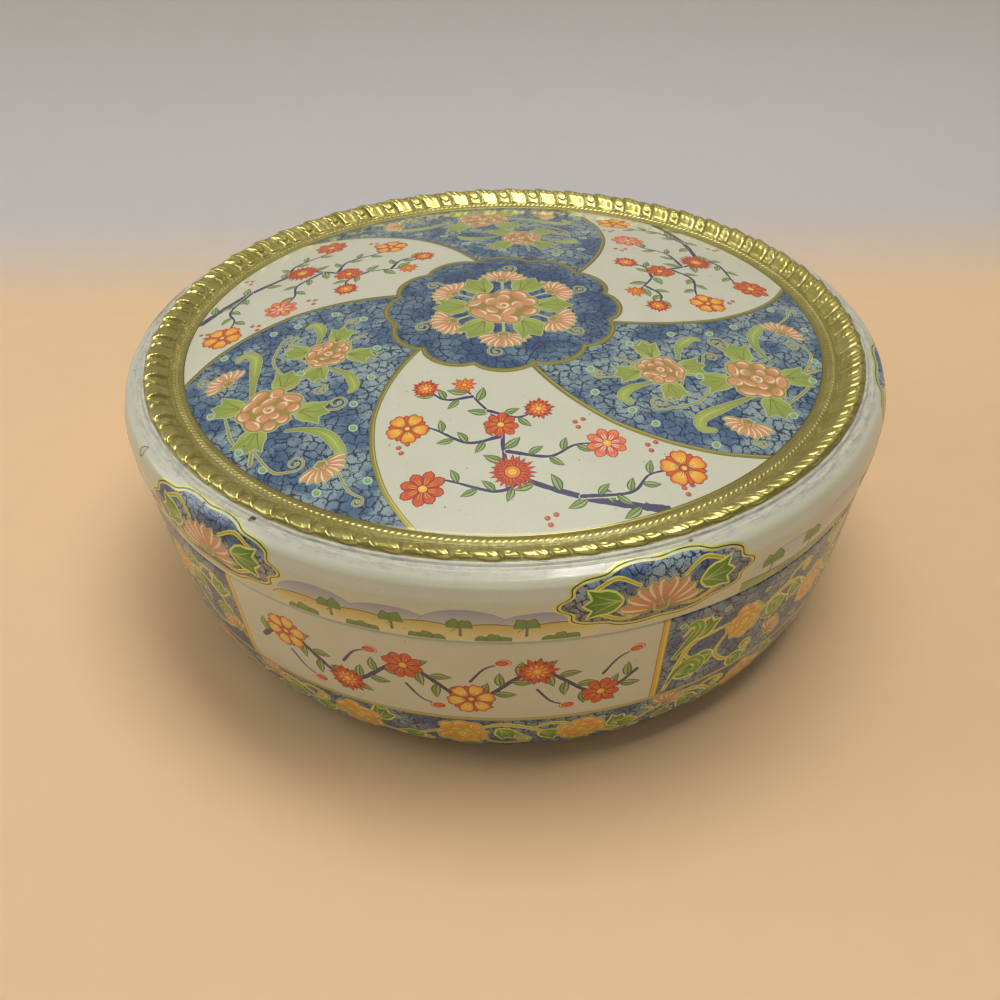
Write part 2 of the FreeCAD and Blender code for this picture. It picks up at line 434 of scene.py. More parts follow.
def daisy(pen, size, seed, deep=False):
    """A daisy with eight broad rounded petals that touch, and a pale heart."""
    if deep:
        edge, tip, base, glow, glow_end, heart = (
            "red_dark", "orange", "red", "amber", "orange", "red_dark")
    else:
        edge, tip, base, glow, glow_end, heart = (
            "red", "orange_light", "red_soft", "white", "orange_light", "orange")
    rs = np.random.RandomState(seed)
    turn = rs.uniform(0, 40)
    width = size * 0.56
    for i in range(8):
        petal = pen.at(turn=turn + 360.0 * i / 8 + rs.uniform(-4, 4))
        r = size * rs.uniform(0.92, 1.06)
        petal.fill(blade("round", size * 0.12, r, width, 8), edge)
        petal.fill(blade("round", size * 0.18, r * 0.94, width * 0.80, 8), tip, base,
                   ((size * 0.95, 0), (size * 0.40, 0)))
        petal.fill(blade("round", size * 0.20, r * 0.68, width * 0.36, 6), glow, glow_end,
                   ((size * 0.3, 0), (size * 0.66, 0)))
        petal.stroke([(size * 0.28, 0), (r * 0.52, 0), (r * 0.74, 0)], [0.28, 0.24, 0.1], edge)
    pen.dot(0, 0, size * 0.25, heart, 12)
    pen.dot(0, 0, size * 0.195, "sun", 11)
    pen.dot(-size * 0.03, size * 0.04, size * 0.085, "lemon", 8)


def notched(start, end, width, notch=0.93):
    """A rounded petal with a notch in its tip."""
    t = np.array([0, 0.16, 0.36, 0.58, 0.78, 0.91, 0.99])
    half = np.array([0.16, 0.34, 0.70, 0.96, 1.0, 0.82, 0.42]) * width / 2
    x = start + (end - start) * t
    tip = [[start + (end - start) * notch, 0]]
    return np.vstack([np.stack([x, half], 1), tip, np.stack([x, -half], 1)[::-1]])


def blossom(pen, size, petals, turn, mid="amber", core="sun"):
    """An open flower: separate notched petals over a second row that shows between them."""
    for i in range(petals):
        petal = pen.at(turn=turn + 360.0 * (i + 0.5) / petals)
        petal.fill(blade("round", size * 0.2, size * 0.92, size * 0.36, 7), "red_dark")
        petal.fill(blade("round", size * 0.2, size * 0.87, size * 0.26, 6), "red_soft",
                   "orange", ((size * 0.5, 0), (size, 0)))
    width = size * (0.72 if petals == 5 else 0.62)
    for i in range(petals):
        petal = pen.at(turn=turn + 360.0 * i / petals)
        petal.fill(notched(size * 0.10, size, width), "red_dark")
        petal.fill(notched(size * 0.13, size * 0.965, width * 0.88), "orange", mid,
                   ((size, 0), (size * 0.62, 0)))
        petal.fill(notched(size * 0.16, size * 0.88, width * 0.70), core, mid,
                   ((size * 0.45, 0), (size * 0.90, 0)))
        petal.fill(notched(size * 0.14, size * 0.58, width * 0.34, 0.94), "lemon", core,
                   ((size * 0.3, 0), (size * 0.62, 0)))
        for lean, reach in ((-15, 0.42), (0, 0.50), (15, 0.42)):
            petal.at(turn=lean).stroke([(size * 0.16, 0), (size * 0.3, 0), (size * reach, 0)],
                                       np.array([0.045, 0.034, 0.014]) * size, "red_dark")
    pen.dot(0, 0, size * 0.22, "red_dark", 13)
    pen.dot(0, 0, size * 0.17, "orange", 12)
    pen.dot(0, 0, size * 0.10, "lemon", 10)


def berries(pen, places, radius=0.85):
    for x, y in places:
        pen.dot(x, y, radius, "red_dark", 9)
        pen.dot(x, y, radius * 0.8, "berry", 8)
        pen.dot(x - radius * 0.25, y + radius * 0.25, radius * 0.28, "orange_light", 6)


def bud(pen, size):
    pen.dot(0, 0, size * 1.15, "halo", 12, size * 0.85)
    pen.line(ellipse(size * 1.25, size * 0.9, 12, start=2.4)[:6], [0.2, 0.5, 0.2], "orange")
    pen.dot(0, 0, size, "red", 12, size * 0.66)
    pen.dot(-size * 0.1, size * 0.08, size * 0.7, "orange", 11, size * 0.42)


def twig(pen, points, widths, seed):
    """A ragged indigo stem, with a pale halo if it is thick."""
    rs = np.random.RandomState(seed)
    p = spline(points, 1.0)
    width = np.interp(np.linspace(0, 1, len(p)), np.linspace(0, 1, len(widths)), widths)
    if width[0] > 1.1:
        pen.stroke(p, width + 0.7, "halo")
    pen.stroke(p, width * (1 + 0.16 * rs.uniform(-1, 1, len(p))), "indigo")


def spray(pen, stem, widths, seed, every, length, width):
    """A twig with leaves set at even steps on alternate sides."""
    twig(pen, stem, widths, seed)
    nodes = spline(stem, every)
    for i in range(1, len(nodes) - 1):
        d = nodes[i + 1] - nodes[i - 1]
        side = 1 if i % 2 else -1
        angle = math.degrees(math.atan2(d[1], d[0])) + 48 * side
        leaf(pen.at(nodes[i][0], nodes[i][1], angle), length, width, 0.05 * side)


# -------------------------------------------------------------------------- the lid's top panel
# the swirling borders between the panels: azimuth in degrees at each radius
SWIRL_R = np.array([30, 38, 55, 70, 85, 95, 105, 112.0])
SWIRL_A = np.array([-50, -46, -39.5, -33.5, -26, -20.5, -14, -9.0])
SWIRL_END = 106.4


def around(radius, azimuth):
    """Plan position at a radius and an azimuth in radians."""
    return np.stack([radius * np.sin(azimuth), -radius * np.cos(azimuth)], -1)


def polar(radius, degrees):
    return around(radius, np.radians(degrees))


def edge_curve(turn, offset=0.0):
    r = np.linspace(33.0, SWIRL_END, 34)
    p = polar(r, np.interp(r, SWIRL_R, SWIRL_A) + turn)
    if offset:
        d = np.gradient(p, axis=0)
        d /= np.hypot(d[:, 0], d[:, 1])[:, None]
        p = p + offset * np.stack([-d[:, 1], d[:, 0]], 1)
    return p


def panel_ground(pen, turn):
    end = np.interp(SWIRL_END, SWIRL_R, SWIRL_A)
    arc = polar(SWIRL_END, np.linspace(turn + end, turn + BAY + end, 26)[1:-1])
    pen.fill(np.vstack([edge_curve(turn), arc, edge_curve(turn + BAY)[::-1]]), "blue")


def spot(r, offset):
    """A place in a swirling panel: offset is mm along the arc from the panel's midline."""
    midline = float(np.interp(r, SWIRL_R, SWIRL_A)) + 30.0
    p = polar(r, midline + math.degrees(offset / r))
    return float(p[0]), float(p[1])


def spots(places, side=1):
    return [spot(r, side * offset) for r, offset in places]


# (radius, turns, sense, width, stem); stems and dots are (r, offset) for spot()
PANEL_SCROLLS = (
    (3.0, 1.25, 1, 0.95, ((99, 0), (101, 10), (98, 18))),
    (3.2, 1.25, 1, 0.95, ((76, 6), (77, 16), (73, 23))),
    (1.9, 1.1, -1, 0.8, ((92, 34), (97, 38), (98, 42))),
    (2.4, 1.2, -1, 0.85, ((66, 0), (69, 7), (68, 13))),
    (2.3, 1.2, 1, 0.85, ((52, 0), (54, 8), (51, 13))),
)
PANEL_DOTS = (
    (101, 27), (101, -27), (76, 33), (76, -33), (68, 27), (68, -27), (46, 10), (46, -10),
    (71, 0), (102, 6), (102, -6), (92, 44), (92, -44), (56, 22), (56, -22),
)


def blue_panel(pen):
    """Mirrored about the panel's midline: two rosettes, paired scrolls and leaves."""
    stem = spots(((103, 0), (94, 0), (80, 0), (66, 0), (54, 0), (46, 0)))
    pen.line(stem, [1.6, 1.6, 1.4, 1.2, 0.9], "scroll_pale")
    pen.line(stem, [0.8, 0.8, 0.6, 0.5, 0.4], "scroll")
    for side in (-1, 1):
        for radius, turns, sense, width, stem in PANEL_SCROLLS:
            scroll(pen, spots(stem, side), radius, turns, sense * side, width)
        comma(pen, spots(((88, 11), (84, 18), (82, 26), (85, 33), (88, 34)), side), 3.3)
        comma(pen, spots(((62, 8), (60, 15), (62, 21), (65, 22)), side), 2.8)
        x, y = spot(92, side * 28)
        x0, y0 = spot(88, side * 14)
        angle = math.degrees(math.atan2(y - y0, x - x0))
        fan(pen.at(x, y, angle), 7.6, 78, 23 + side)
    for r, size, seed, length in ((86, 10.0, 21, 10.0), (60, 7.4, 22, 8.2)):
        rosette = spot(r, 0)
        for k in range(4):
            ivy(pen.at(*rosette, 45 + 90 * k).at(size * 0.82), length)
        peony(pen.at(*rosette), size, seed)
    for x, y in spots(PANEL_DOTS):
        pen.dot(x, y, 1.65, "dot_ring", 10, 1.35)
        pen.dot(x, y, 1.15, "dot", 9, 0.92)
        pen.dot(x - 0.25, y + 0.2, 0.4, "leaf_light", 6)


MAIN_STEM = ((105, 15), (95, 6), (84, -3), (74, 1), (64, 5), (54, 1), (47, -3))
SIDE_STEMS = (
    ((94, 5), (96, 17), (92, 28), (94, 37)),
    ((86, -2), (90, -14), (87, -26), (91, -35)),
    ((75, 1), (78, 11), (75, 21), (77, 29)),
    ((69, 3), (72, -8), (68, -17), (70, -25)),
    ((58, 3), (61, 11), (58, 18)),
    ((52, 0), (55, -9), (52, -15)),
)


def cream_panel(pen):
    """A wavy stem from the rim inwards, with side sprays and flowers at their ends."""
    spray(pen, spots(MAIN_STEM), (2.8, 2.4, 2.0, 1.6, 1.2, 0.9, 0.6), 4, 7.5, 6.8, 2.9)
    for i, stem in enumerate(SIDE_STEMS):
        spray(pen, spots(stem), (1.4, 1.1, 0.8, 0.5), 5 + i, 6.2, 5.6, 2.4)
    for x, y in spots(((100, -12), (82, 38), (78, -32), (66, 26), (100, 28))):
        berries(pen, ((x, y), (x + 2.4, y + 1.2), (x + 0.8, y - 2.2)))

    def at(r, offset):
        return pen.at(*spot(r, offset))

    blossom(at(94, 37), 7.0, 5, turn=30)
    daisy(at(91, -35), 6.6, 36, deep=True)
    daisy(at(77, 29), 6.2, 35)
    blossom(at(70, -25), 6.4, 5, turn=60)
    star(at(58, 18), 5.0, 9, 31, 0.5)
    star(at(52, -15), 4.6, 9, 32, 0.5)
    mum(at(83, -3), 6.8, 34)
    daisy(at(64, 5), 5.4, 37, deep=True)
    small_star(at(47, -2), 4.0, 33)


def lobed(grow, tip=38.6, cusp=35.6, lobes=12, phase=15.0, per_lobe=9):
    """The medallion's scalloped edge."""
    points = []
    for k in range(lobes):
        for j in range(per_lobe):
            t = j / per_lobe
            r = cusp + (tip - cusp) * math.sin(math.pi * t) ** 0.72 + grow
            points.append(polar(r, phase + 360.0 / lobes * (k + t)))
    return np.array(points)


def medallion(pen):
    """A six-fold rosette: one flower in the middle, leaves and small fans round it."""
    for grow, ink in ((1.15, "gold"), (0.30, "gold_light"), (0.0, "gold"), (-0.85, "blue_deep")):
        pen.fill(lobed(grow), ink)
    sixths = [pen.at(turn=60 * k) for k in range(6)]
    for sixth in sixths:
        scroll(sixth, [(14.0, 3.0), (20.0, 8.0), (26.5, 9.6)], 2.6, 1.2, 1, 0.85)
        sixth.at(turn=30).line([(9.0, 0), (19.0, 0)], [0.9, 1.1], "scroll_pale")
    for k, sixth in enumerate(sixths):
        ivy(sixth.at(10.5), 11.5)
        fan(pen.at(turn=60 * k + 30).at(18.5), 8.6, 76, 43 + k)
        x, y = 31.0 * math.cos(math.radians(60 * k)), 31.0 * math.sin(math.radians(60 * k))
        pen.dot(x, y, 1.35, "navy", 10, 1.2)
        pen.dot(x, y, 1.05, "teal", 9, 0.95)
    peony(pen, 12.4, 41)


def top_art():
    pen = Pen()
    pen.fill(ellipse(118, 118, 90), "cream")
    for turn in (60, 180, 300):
        panel_ground(pen, turn)
    for turn in (0, 120, 240):
        cream_panel(pen.at(turn=turn))
        blue_panel(pen.at(turn=turn + BAY))
    for turn in range(0, 360, BAY):
        pen.stroke(edge_curve(turn), [1.75, 1.7, 1.6], "gold_dark")
        pen.stroke(edge_curve(turn), [1.4, 1.35, 1.25], "gold")
        pen.stroke(edge_curve(turn, 0.34), [0.3, 0.34, 0.3], "gold_light")
    medallion(pen)
    # the print's own edge, a little off the pressing's centre, and the gold margin outside it
    off_centre = -0.45
    t = np.arange(180) * TAU / 180
    outer = np.stack([112 * np.cos(t), 112 * np.sin(t)], 1)
    for r, ink in ((PANEL_R - 0.55, "gold_dark"), (PANEL_R - 0.2, "gold")):
        inner = np.stack([off_centre + r * np.cos(t), r * np.sin(t)], 1)
        pen.fill(np.vstack([outer, outer[:1], inner[:1], inner[::-1]]), ink)
    return pen.shapes


# --------------------------------------------------------------------------- the lid's shoulder
def cartouche(pen):
    """A lobed plaque with a fan flower between mirrored scrolls and leaves."""
    t = np.arange(150) * TAU / 150
    lobe = 1.0 - 0.085 * np.abs(np.sin(5 * t)) ** 3
    for grow, ink, to in ((1.7, "gold_bright", None), (0.9, "olive_black", None),
                          (0.45, "gold_bright", None), (-0.3, "blue_wing", "blue_low")):
        x = (27.0 + grow) * np.cos(t) * lobe
        y = -14.0 + (10.2 + grow) * np.sin(t) * lobe
        pen.fill(np.stack([x, y], 1), ink, to, ((0, -7), (0, -22)))
    for s in (-1, 1):
        low = [(s * 4.0, -20.0), (s * 10.0, -21.4), (s * 16.0, -18.4)]
        high = [(s * 6.0, -10.6), (s * 12.0, -7.4), (s * 17.4, -9.4)]
        scroll(pen, low, 2.6, 1.3, s, 1.2, **SIDE_LINE)
        scroll(pen, high, 2.3, 1.3, -s, 1.1, **SIDE_LINE)
        ivy(pen.at(s * 11.0, -14.2, 0 if s > 0 else 180), 9.0, **SIDE_IVY)
        leaf(pen.at(s * 5.0, -19.6, 90 - s * 78), 7.4, 3.0, 0.05, "side_green", "leaf",
             "side_yellow")
    fan(pen.at(0.0, -20.0, 90), 11.6, 78, 7)


def bush(pen, width, height, seed):
    """A bank of rounded clumps, tallest in the middle."""
    rs = np.random.RandomState(seed)
    n = max(2, int(round(width / 2.9)))
    x = np.linspace(-width / 2 + width / (2 * n), width / 2 - width / (2 * n), n)
    t = np.linspace(0, math.pi, 11)
    for i in sorted(range(n), key=lambda i: -abs(x[i])):
        r = width / (2 * n) * rs.uniform(1.15, 1.5)
        top = height * (1 - 0.55 * (2 * abs(x[i]) / width) ** 1.6) * rs.uniform(0.84, 1.06)
        bumpy = 1 + 0.07 * np.sin(t * 5 + rs.uniform(0, 6))
        arch = np.stack([x[i] + r * np.cos(t) * bumpy, top * np.sin(t) ** 0.62 * bumpy], 1)
        pen.fill(arch, "bush_dark")
        pen.fill((arch - (x[i], 0)) * (0.88, 0.92) + (x[i], 0), "leaf", "bush",
                 ((0, height * 1.05), (0, height * 0.30)))


def knoll(pen, x, y, width, height, ink, light, line):
    """A smooth rounded hill standing on the level y."""
    t = np.linspace(0, math.pi, 15)
    arc = np.stack([x - width / 2 * np.cos(t), y + height * np.sin(t)], 1)
    foot = [(x + width / 2, y - 3.0), (x - width / 2, y - 3.0)]
    pen.fill(np.vstack([arc, foot]), ink, light, ((x, y + height), (x, y - 2.0)))
    pen.stroke(arc[1:-1], [0.24, 0.4, 0.24], line)


def small_tree(pen, x, y, height, seed):
    """A round-headed tree."""
    pen.line([(x, y), (x + 0.2, y + height * 0.55)], [0.9, 0.6], "bark")
    bush(pen.at(x, y + height * 0.42), height * 0.72, height * 0.58, seed)


def scene_rows(pen):
    """Rounded hills with even rows of trees and bushes."""
    for i, x in enumerate((-30, -10, 10, 30)):
        knoll(pen, x, -20.4, 24, 6.4 - 1.2 * (i % 2), "lilac", "cream", "lilac")
    for x in (-34, -17, 0, 17, 34):
        knoll(pen, x, -23.6, 21, 4.6, "hill", "hill_light", "olive")
    for i, x in enumerate((-26, -9, 9, 26)):
        small_tree(pen, x, -24.4, 8.2, 61 + i)
    for i, x in enumerate((-35, -17.5, 0, 17.5, 35)):
        bush(pen.at(x, -26.6), 9.0, 3.4, 71 + i)


def scene_hill(pen):
    """A wide hill between trees, on a green bank."""
    for x in (-24, 0, 24):
        knoll(pen, x, -20.8, 32, 8.4 if x == 0 else 5.6, "lilac_light", "cream", "lilac")
    bank = spline([(-42, -22.6), (-21, -23.6), (0, -22.6), (21, -23.6), (42, -22.6)], 1.6)
    pen.fill(np.vstack([bank, [(42, -32), (-42, -32)]]), "sage", "sage_light",
             ((0, -22), (0, -30)))
    pen.stroke(bank, [0.5, 0.4, 0.5], "sage_dark")
    for i, x in enumerate((-32, -16, 16, 32)):
        small_tree(pen, x, -24.0, 9.4, 81 + i)
    for i, x in enumerate((-24, -8, 8, 24)):
        bush(pen.at(x, -26.6), 7.0, 2.8, 91 + i)


CHIPS = (  # azimuth, depth, size, ink, edge ink
    (-34.9, 1.7, 1.2, "olive_black", "gold_dark"),
    (-59.7, 6.6, 2.0, "cream_shade", "sage_dark"),
    (-42.9, 4.6, 0.6, "olive_black", "gold_dark"),
    (23.0, 2.0, 0.7, "olive_black", "gold_dark"),
    (151.0, 3.0, 1.0, "olive_black", "gold_dark"),
)


def shoulder_art():
    pen = Pen()
    pen.fill(box(math.pi * SHOULDER_R + 2, 3, -40), "cream")
    for b in BAYS:
        scene = scene_rows if b % 2 == 0 else scene_hill
        scene(pen.at_azimuth(BAY0 + BAY * b, SHOULDER_R))
    for b in BAYS:
        cartouche(pen.at_azimuth(BAY0 + 28.5 + BAY * b, SHOULDER_R))
    for azimuth, depth, r, ink, edge in CHIPS:
        chip = pen.at_azimuth(azimuth, SHOULDER_R).at(0, -depth, 31 * r)
        chip.fill(blade("point", -r * 1.25, r * 1.25, r * 1.7, 6), edge)
        chip.fill(blade("point", -r, r, r * 1.3, 6), ink)
    return pen.shapes


# ------------------------------------------------------------------------------- the tin's body
# A bay's x is 0 on its centre line, and its y is minus the distance down from the ledge.
def body_cream(pen):
    """An even waving stem with a flower at each crest."""
    x = np.linspace(-55, 55, 23)
    y = -18.6 + 6.2 * np.sin(TAU * (x + 54) / 36)
    stem = [(float(a), float(b)) for a, b in zip(x, y)]
    spray(pen, stem, (1.8, 1.5, 1.5, 1.5, 1.2), 81, 7.2, 6.8, 2.9)
    for i in range(6):
        x = -45 + 18 * i
        y, s, turn = (-12.4, 1, 0) if i % 2 == 0 else (-24.8, -1, 180)
        stalk = [(x, y - 8 * s), (x + 4.0, y - 14 * s), (x + 8.4, y - 16.4 * s)]
        twig(pen, stalk, (0.9, 0.7, 0.5), 82 + i)
        bud(pen.at(x + 8.8, y - 16.6 * s, turn), 1.9)
        flower = pen.at(x, y)
        if i % 3 == 0:
            blossom(flower, 7.0, 6, turn=12, mid="sun", core="lemon")
        elif i % 3 == 1:
            star(flower, 6.2, 10, 91 + i, 0.52)
        else:
            daisy(flower, 6.0, 92 + i, deep=True)


# The plans of the vine work on blue. Columns:
# scrolls: radius, turns, sense, stem; leaves: x, y, turn, length; commas: width, path;
# peonies: x, y, size, seed; fans: x, y, turn, size, seed; dots: x, y;
# dot_size: the ring's x and y radius, then the core's.
BAY_PLAN = dict(
    scrolls=(
        (2.0, 0.5, -1, ((-60.5, -33.0), (-57.6, -22.0), (-54.0, -14.0), (-47.4, -12.4),
                        (-40.0, -12.0))),
        (2.6, 1.2, -1, ((-56.0, -18.0), (-54.0, -20.6), (-51.6, -21.4))),
        (2.5, 1.2, -1, ((-57.4, -9.4), (-54.6, -5.6), (-51.6, -5.0))),
        (3.0, 1.2, 1, ((-42.0, -16.0), (-44.8, -23.0), (-40.0, -29.0), (-33.0, -30.0))),
        (2.4, 0.6, -1, ((-30.0, -14.0), (-22.0, -10.0), (-14.0, -11.0), (-6.0, -18.0))),
        (2.5, 1.2, -1, ((-20.0, -10.4), (-17.0, -5.6), (-12.0, -4.2))),
        (2.4, 0.6, 1, ((4.0, -19.0), (12.0, -25.0), (20.0, -24.4), (27.0, -18.0))),
        (2.6, 1.2, 1, ((14.0, -25.0), (18.0, -29.4), (23.0, -30.4))),
        (2.8, 1.2, -1, ((34.0, -15.0), (42.0, -10.0), (50.0, -12.0), (56.0, -18.0))),
        (2.7, 1.2, 1, ((36.0, -20.0), (40.0, -26.0), (46.0, -29.0), (52.0, -28.4))),
        (2.2, 1.1, -1, ((44.0, -9.8), (47.0, -5.4), (51.6, -4.6))),
    ),
    leaves=(
        (-52.0, -12.6, 70, 7.4), (-46.0, -22.0, 200, 7.6), (-25.6, -12.4, -50, 7.8),
        (-15.0, -11.2, -72, 7.0), (9.6, -23.4, 84, 7.6), (19.0, -24.6, 46, 7.0),
        (40.0, -11.2, -78, 7.4), (51.6, -13.2, 52, 7.0), (-38.0, -29.6, -40, 6.6),
        (30.0, -24.4, -74, 7.2), (2.0, -6.6, 62, 7.0), (-58.0, -27.0, 8, 6.4),
    ),
    commas=(
        (3.2, ((-60.0, -30.0), (-57.4, -24.6), (-53.0, -22.0), (-49.8, -24.4), (-50.8, -28.0),
               (-52.6, -27.4))),
        (3.0, ((-59.6, -18.0), (-56.0, -13.0), (-52.8, -8.6), (-53.8, -5.2), (-56.2, -5.6))),
        (2.6, ((-28.0, -18.0), (-24.0, -19.4), (-20.4, -17.6), (-20.6, -14.6),
               (-22.4, -14.6))),
        (2.8, ((5.0, -22.0), (7.4, -27.6), (11.0, -30.6), (14.0, -29.6), (13.6, -27.6))),
        (2.6, ((36.6, -12.0), (38.6, -7.6), (42.0, -5.0), (45.0, -6.0), (44.4, -8.0))),
        (3.0, ((60.0, -28.0), (57.4, -22.0), (53.4, -19.4), (50.0, -21.0), (50.6, -23.6))),
    ),
    peonies=((-35.6, -14.6, 6.9, 101), (-2.6, -20.2, 7.6, 102), (30.4, -14.2, 6.9, 103)),
    fans=((-22.6, -27.6, 40, 6.2, 104), (10.6, -9.0, 128, 6.0, 105),
          (56.6, -26.0, 120, 5.6, 106)),
    dots=(
        (-58.4, -4.4), (-44.0, -4.4), (-29.0, -5.2), (-8.0, -30.2), (-12.0, -17.4),
        (5.0, -30.4), (22.4, -6.4), (38.4, -5.2), (21.6, -17.6), (44.6, -20.4), (58.6, -8.6),
        (-52.6, -30.6),
    ),
    dot_size=(1.3, 1.1, 0.9, 0.75),
)
BAND_PLAN = dict(
    scrolls=(
        (2.6, 0.5, 1, ((-62, -43), (-54, -38.4), (-46, -40), (-38, -47), (-29, -49))),
        (2.6, 1.2, -1, ((-47, -39.6), (-43, -37.6), (-39, -38.4))),
        (2.4, 0.4, 1, ((-24, -48), (-14, -51), (-6, -47), (2, -41))),
        (2.5, 1.15, 1, ((-16, -51), (-12, -54.6), (-6.6, -54.6))),
        (2.6, 0.4, 1, ((8, -42), (17, -38.4), (26, -41), (34, -47.6), (42, -48.6))),
        (2.4, 1.15, -1, ((26, -41), (31, -38.6), (35.6, -39.0))),
        (2.7, 1.15, 1, ((10, -46), (14, -51.0), (19, -52.4), (24, -51.2))),
        (2.2, 0.4, 1, ((44, -47), (52, -50.6), (58, -47.6), (62.6, -43))),
        (2.2, 1.15, 1, ((50, -50.2), (54, -54.2), (58.6, -54.0))),
    ),
    leaves=(
        (-51.6, -41.4, -62, 7.2), (-36.6, -46.6, 196, 6.8), (-21, -43.6, 58, 7.2),
        (-7.4, -48.6, 216, 7.0), (16.4, -41.2, -58, 7.0), (28.4, -44.0, -30, 7.4),
        (50.6, -47.4, 66, 6.8), (58.4, -45.6, 200, 6.4), (-60, -50.4, 30, 6.4),
        (-30.6, -55.0, 20, 6.0), (4.0, -53.6, -20, 6.0), (38.4, -55.6, 10, 6.2),
    ),
    commas=(),
    peonies=((-27.6, -45.6, 8.0, 111), (5.2, -45.0, 8.2, 112), (41.0, -45.4, 7.8, 113)),
    fans=((-58.0, -41.0, 60, 6.2, 114),),
    dots=(
        (-44, -52), (-14, -40), (22, -57), (47, -39.6), (33.4, -53.4), (-20, -57.2),
        (60, -39.2), (-52.6, -56.0),
    ),
    dot_size=(1.2, 1.0, 0.85, 0.7),
)


def vine_work(pen, plan):
    """Scrolling vine with leaves and flowers, for a blue bay or a sixth of the foot band."""
    for radius, turns, sense, stem in plan["scrolls"]:
        bulb = turns > 1  # a curl; the rest are main stems, thicker and open-ended
        scroll(pen, stem, radius, turns, sense, 1.3 if bulb else 1.6, bulb=bulb, **SIDE_LINE)
    for x, y, turn, length in plan["leaves"]:
        ivy(pen.at(x, y, turn), length, **SIDE_IVY)
    for width, path in plan["commas"]:
        comma(pen, path, width, **SIDE_LEAF)
    for x, y, size, seed in plan["peonies"]:
        peony(pen.at(x, y), size, seed, **WARM)
    for x, y, turn, size, seed in plan["fans"]:
        fan(pen.at(x, y, turn), size, 76, seed)
    ring, ring_y, core, core_y = plan["dot_size"]
    for x, y in plan["dots"]:
        pen.dot(x, y, ring, "dot_ring", 9, ring_y)
        pen.dot(x, y, core, "dot", 8, core_y)


def body_art(ledge):
    """ledge is the arc length at the ledge's outer corner, where the print starts."""
    pen = Pen(coarse=1.5)
    half_turn = math.pi * BODY_R + 2
    half_bay = math.radians(30) * BODY_R
    pen.fill(box(half_turn, 4, -90), "cream")
    print_top = pen.at(0, -ledge)
    for b in BAYS:
        bay = pen.at_azimuth(BODY_BAY0 + BAY * b, BODY_R).at(0, -ledge)
        if b % 2:
            bay.fill(box(half_bay, 1, -36), "blue_side")
            vine_work(bay, BAY_PLAN)
        else:
            body_cream(bay)
    print_top.fill(box(half_turn, -FOOT_DEPTH, -90), "blue_side")
    for b in BAYS:
        vine_work(pen.at_azimuth(BODY_BAY0 + BAY * b, BODY_R).at(0, -ledge), BAND_PLAN)
    for b in BAYS:  # upright bars between the bays
        bar = pen.at_azimuth(BAY0 + 30.1 + BAY * b, BODY_R).at(0, -ledge)
        for x, width, ink in ((0, 2.3, "vine_dark"), (0.05, 1.75, "amber_line"),
                              (0.35, 0.5, "gold_bright")):
            bar.stroke([(x, 1.0), (x, -17), (x, -35.4)], width, ink)
    for y, width, ink in ((-FOOT_DEPTH, 1.5, "gold_dark"), (-34.95, 0.5, "yellow"),
                          (-35.6, 0.4, "yellow"), (-60.6, 0.8, "gold")):
        print_top.fill(box(half_turn, y + width / 2, y - width / 2), ink)
    return pen.shapes


# ------------------------------------------------------------------------------ sheet profiles
DOME_EDGE, DOME_RISE = 104.4, 11.0
DOME_EDGE_Z, DOME_TOP_Z = 83.0, 94.0
DOME_SLOPE = 2 * math.atan(DOME_RISE / DOME_EDGE)
DOME_R = DOME_EDGE / math.sin(DOME_SLOPE)
# (radius, height, fillet radius) along the sheet's outer face
LID_PATH = [
    (0.0, DOME_TOP_Z, 0), (DOME_R * math.tan(DOME_SLOPE / 2), DOME_TOP_Z, DOME_R - 4.0),
    (DOME_EDGE, DOME_EDGE_Z, 1.5), (105.3, 82.72, 0.4), (106.1, 83.05, 0.5),
    (107.9, 83.5, 0.7), (109.7, 82.95, 1.0), (111.0, 83.6, 1.2), (113.4, 85.6, 2.0),
    (115.6, 86.3, 1.6), (117.05, 85.9, 0.7), (*ROPE_END, 0.45), (118.2, 84.7, 0.35),
    (118.7, 83.95, 0.4), (120.2, 83.95, 0.5), (123.5, 82.1, 4.0), (125.12, 77.0, 7.0),
    (124.75, 69.5, 18.0), (123.15, 61.6, 0.75), (121.35, 61.6, 0.75), (121.35, 63.3, 0),
]
WALL_PATH = [
    (120.35, 76.1, 0), (119.3, 76.1, 0.7), (119.3, 77.8, 0.7), (121.2, 77.8, 0.7),
    (121.2, 61.45, 0.35), (123.0, 61.45, 0.8), (122.95, 59.55, 1.5), (119.75, 31.5, 70.0),
    (117.1, 18.8, 40.0), (113.4, 9.4, 18.0), (109.3, 3.45, 5.0), (102.64, 2.95, 0.45),
    (102.64, 0.64, 0.19), (103.02, 0.64, 0.19), (103.02, 2.05, 0),
]


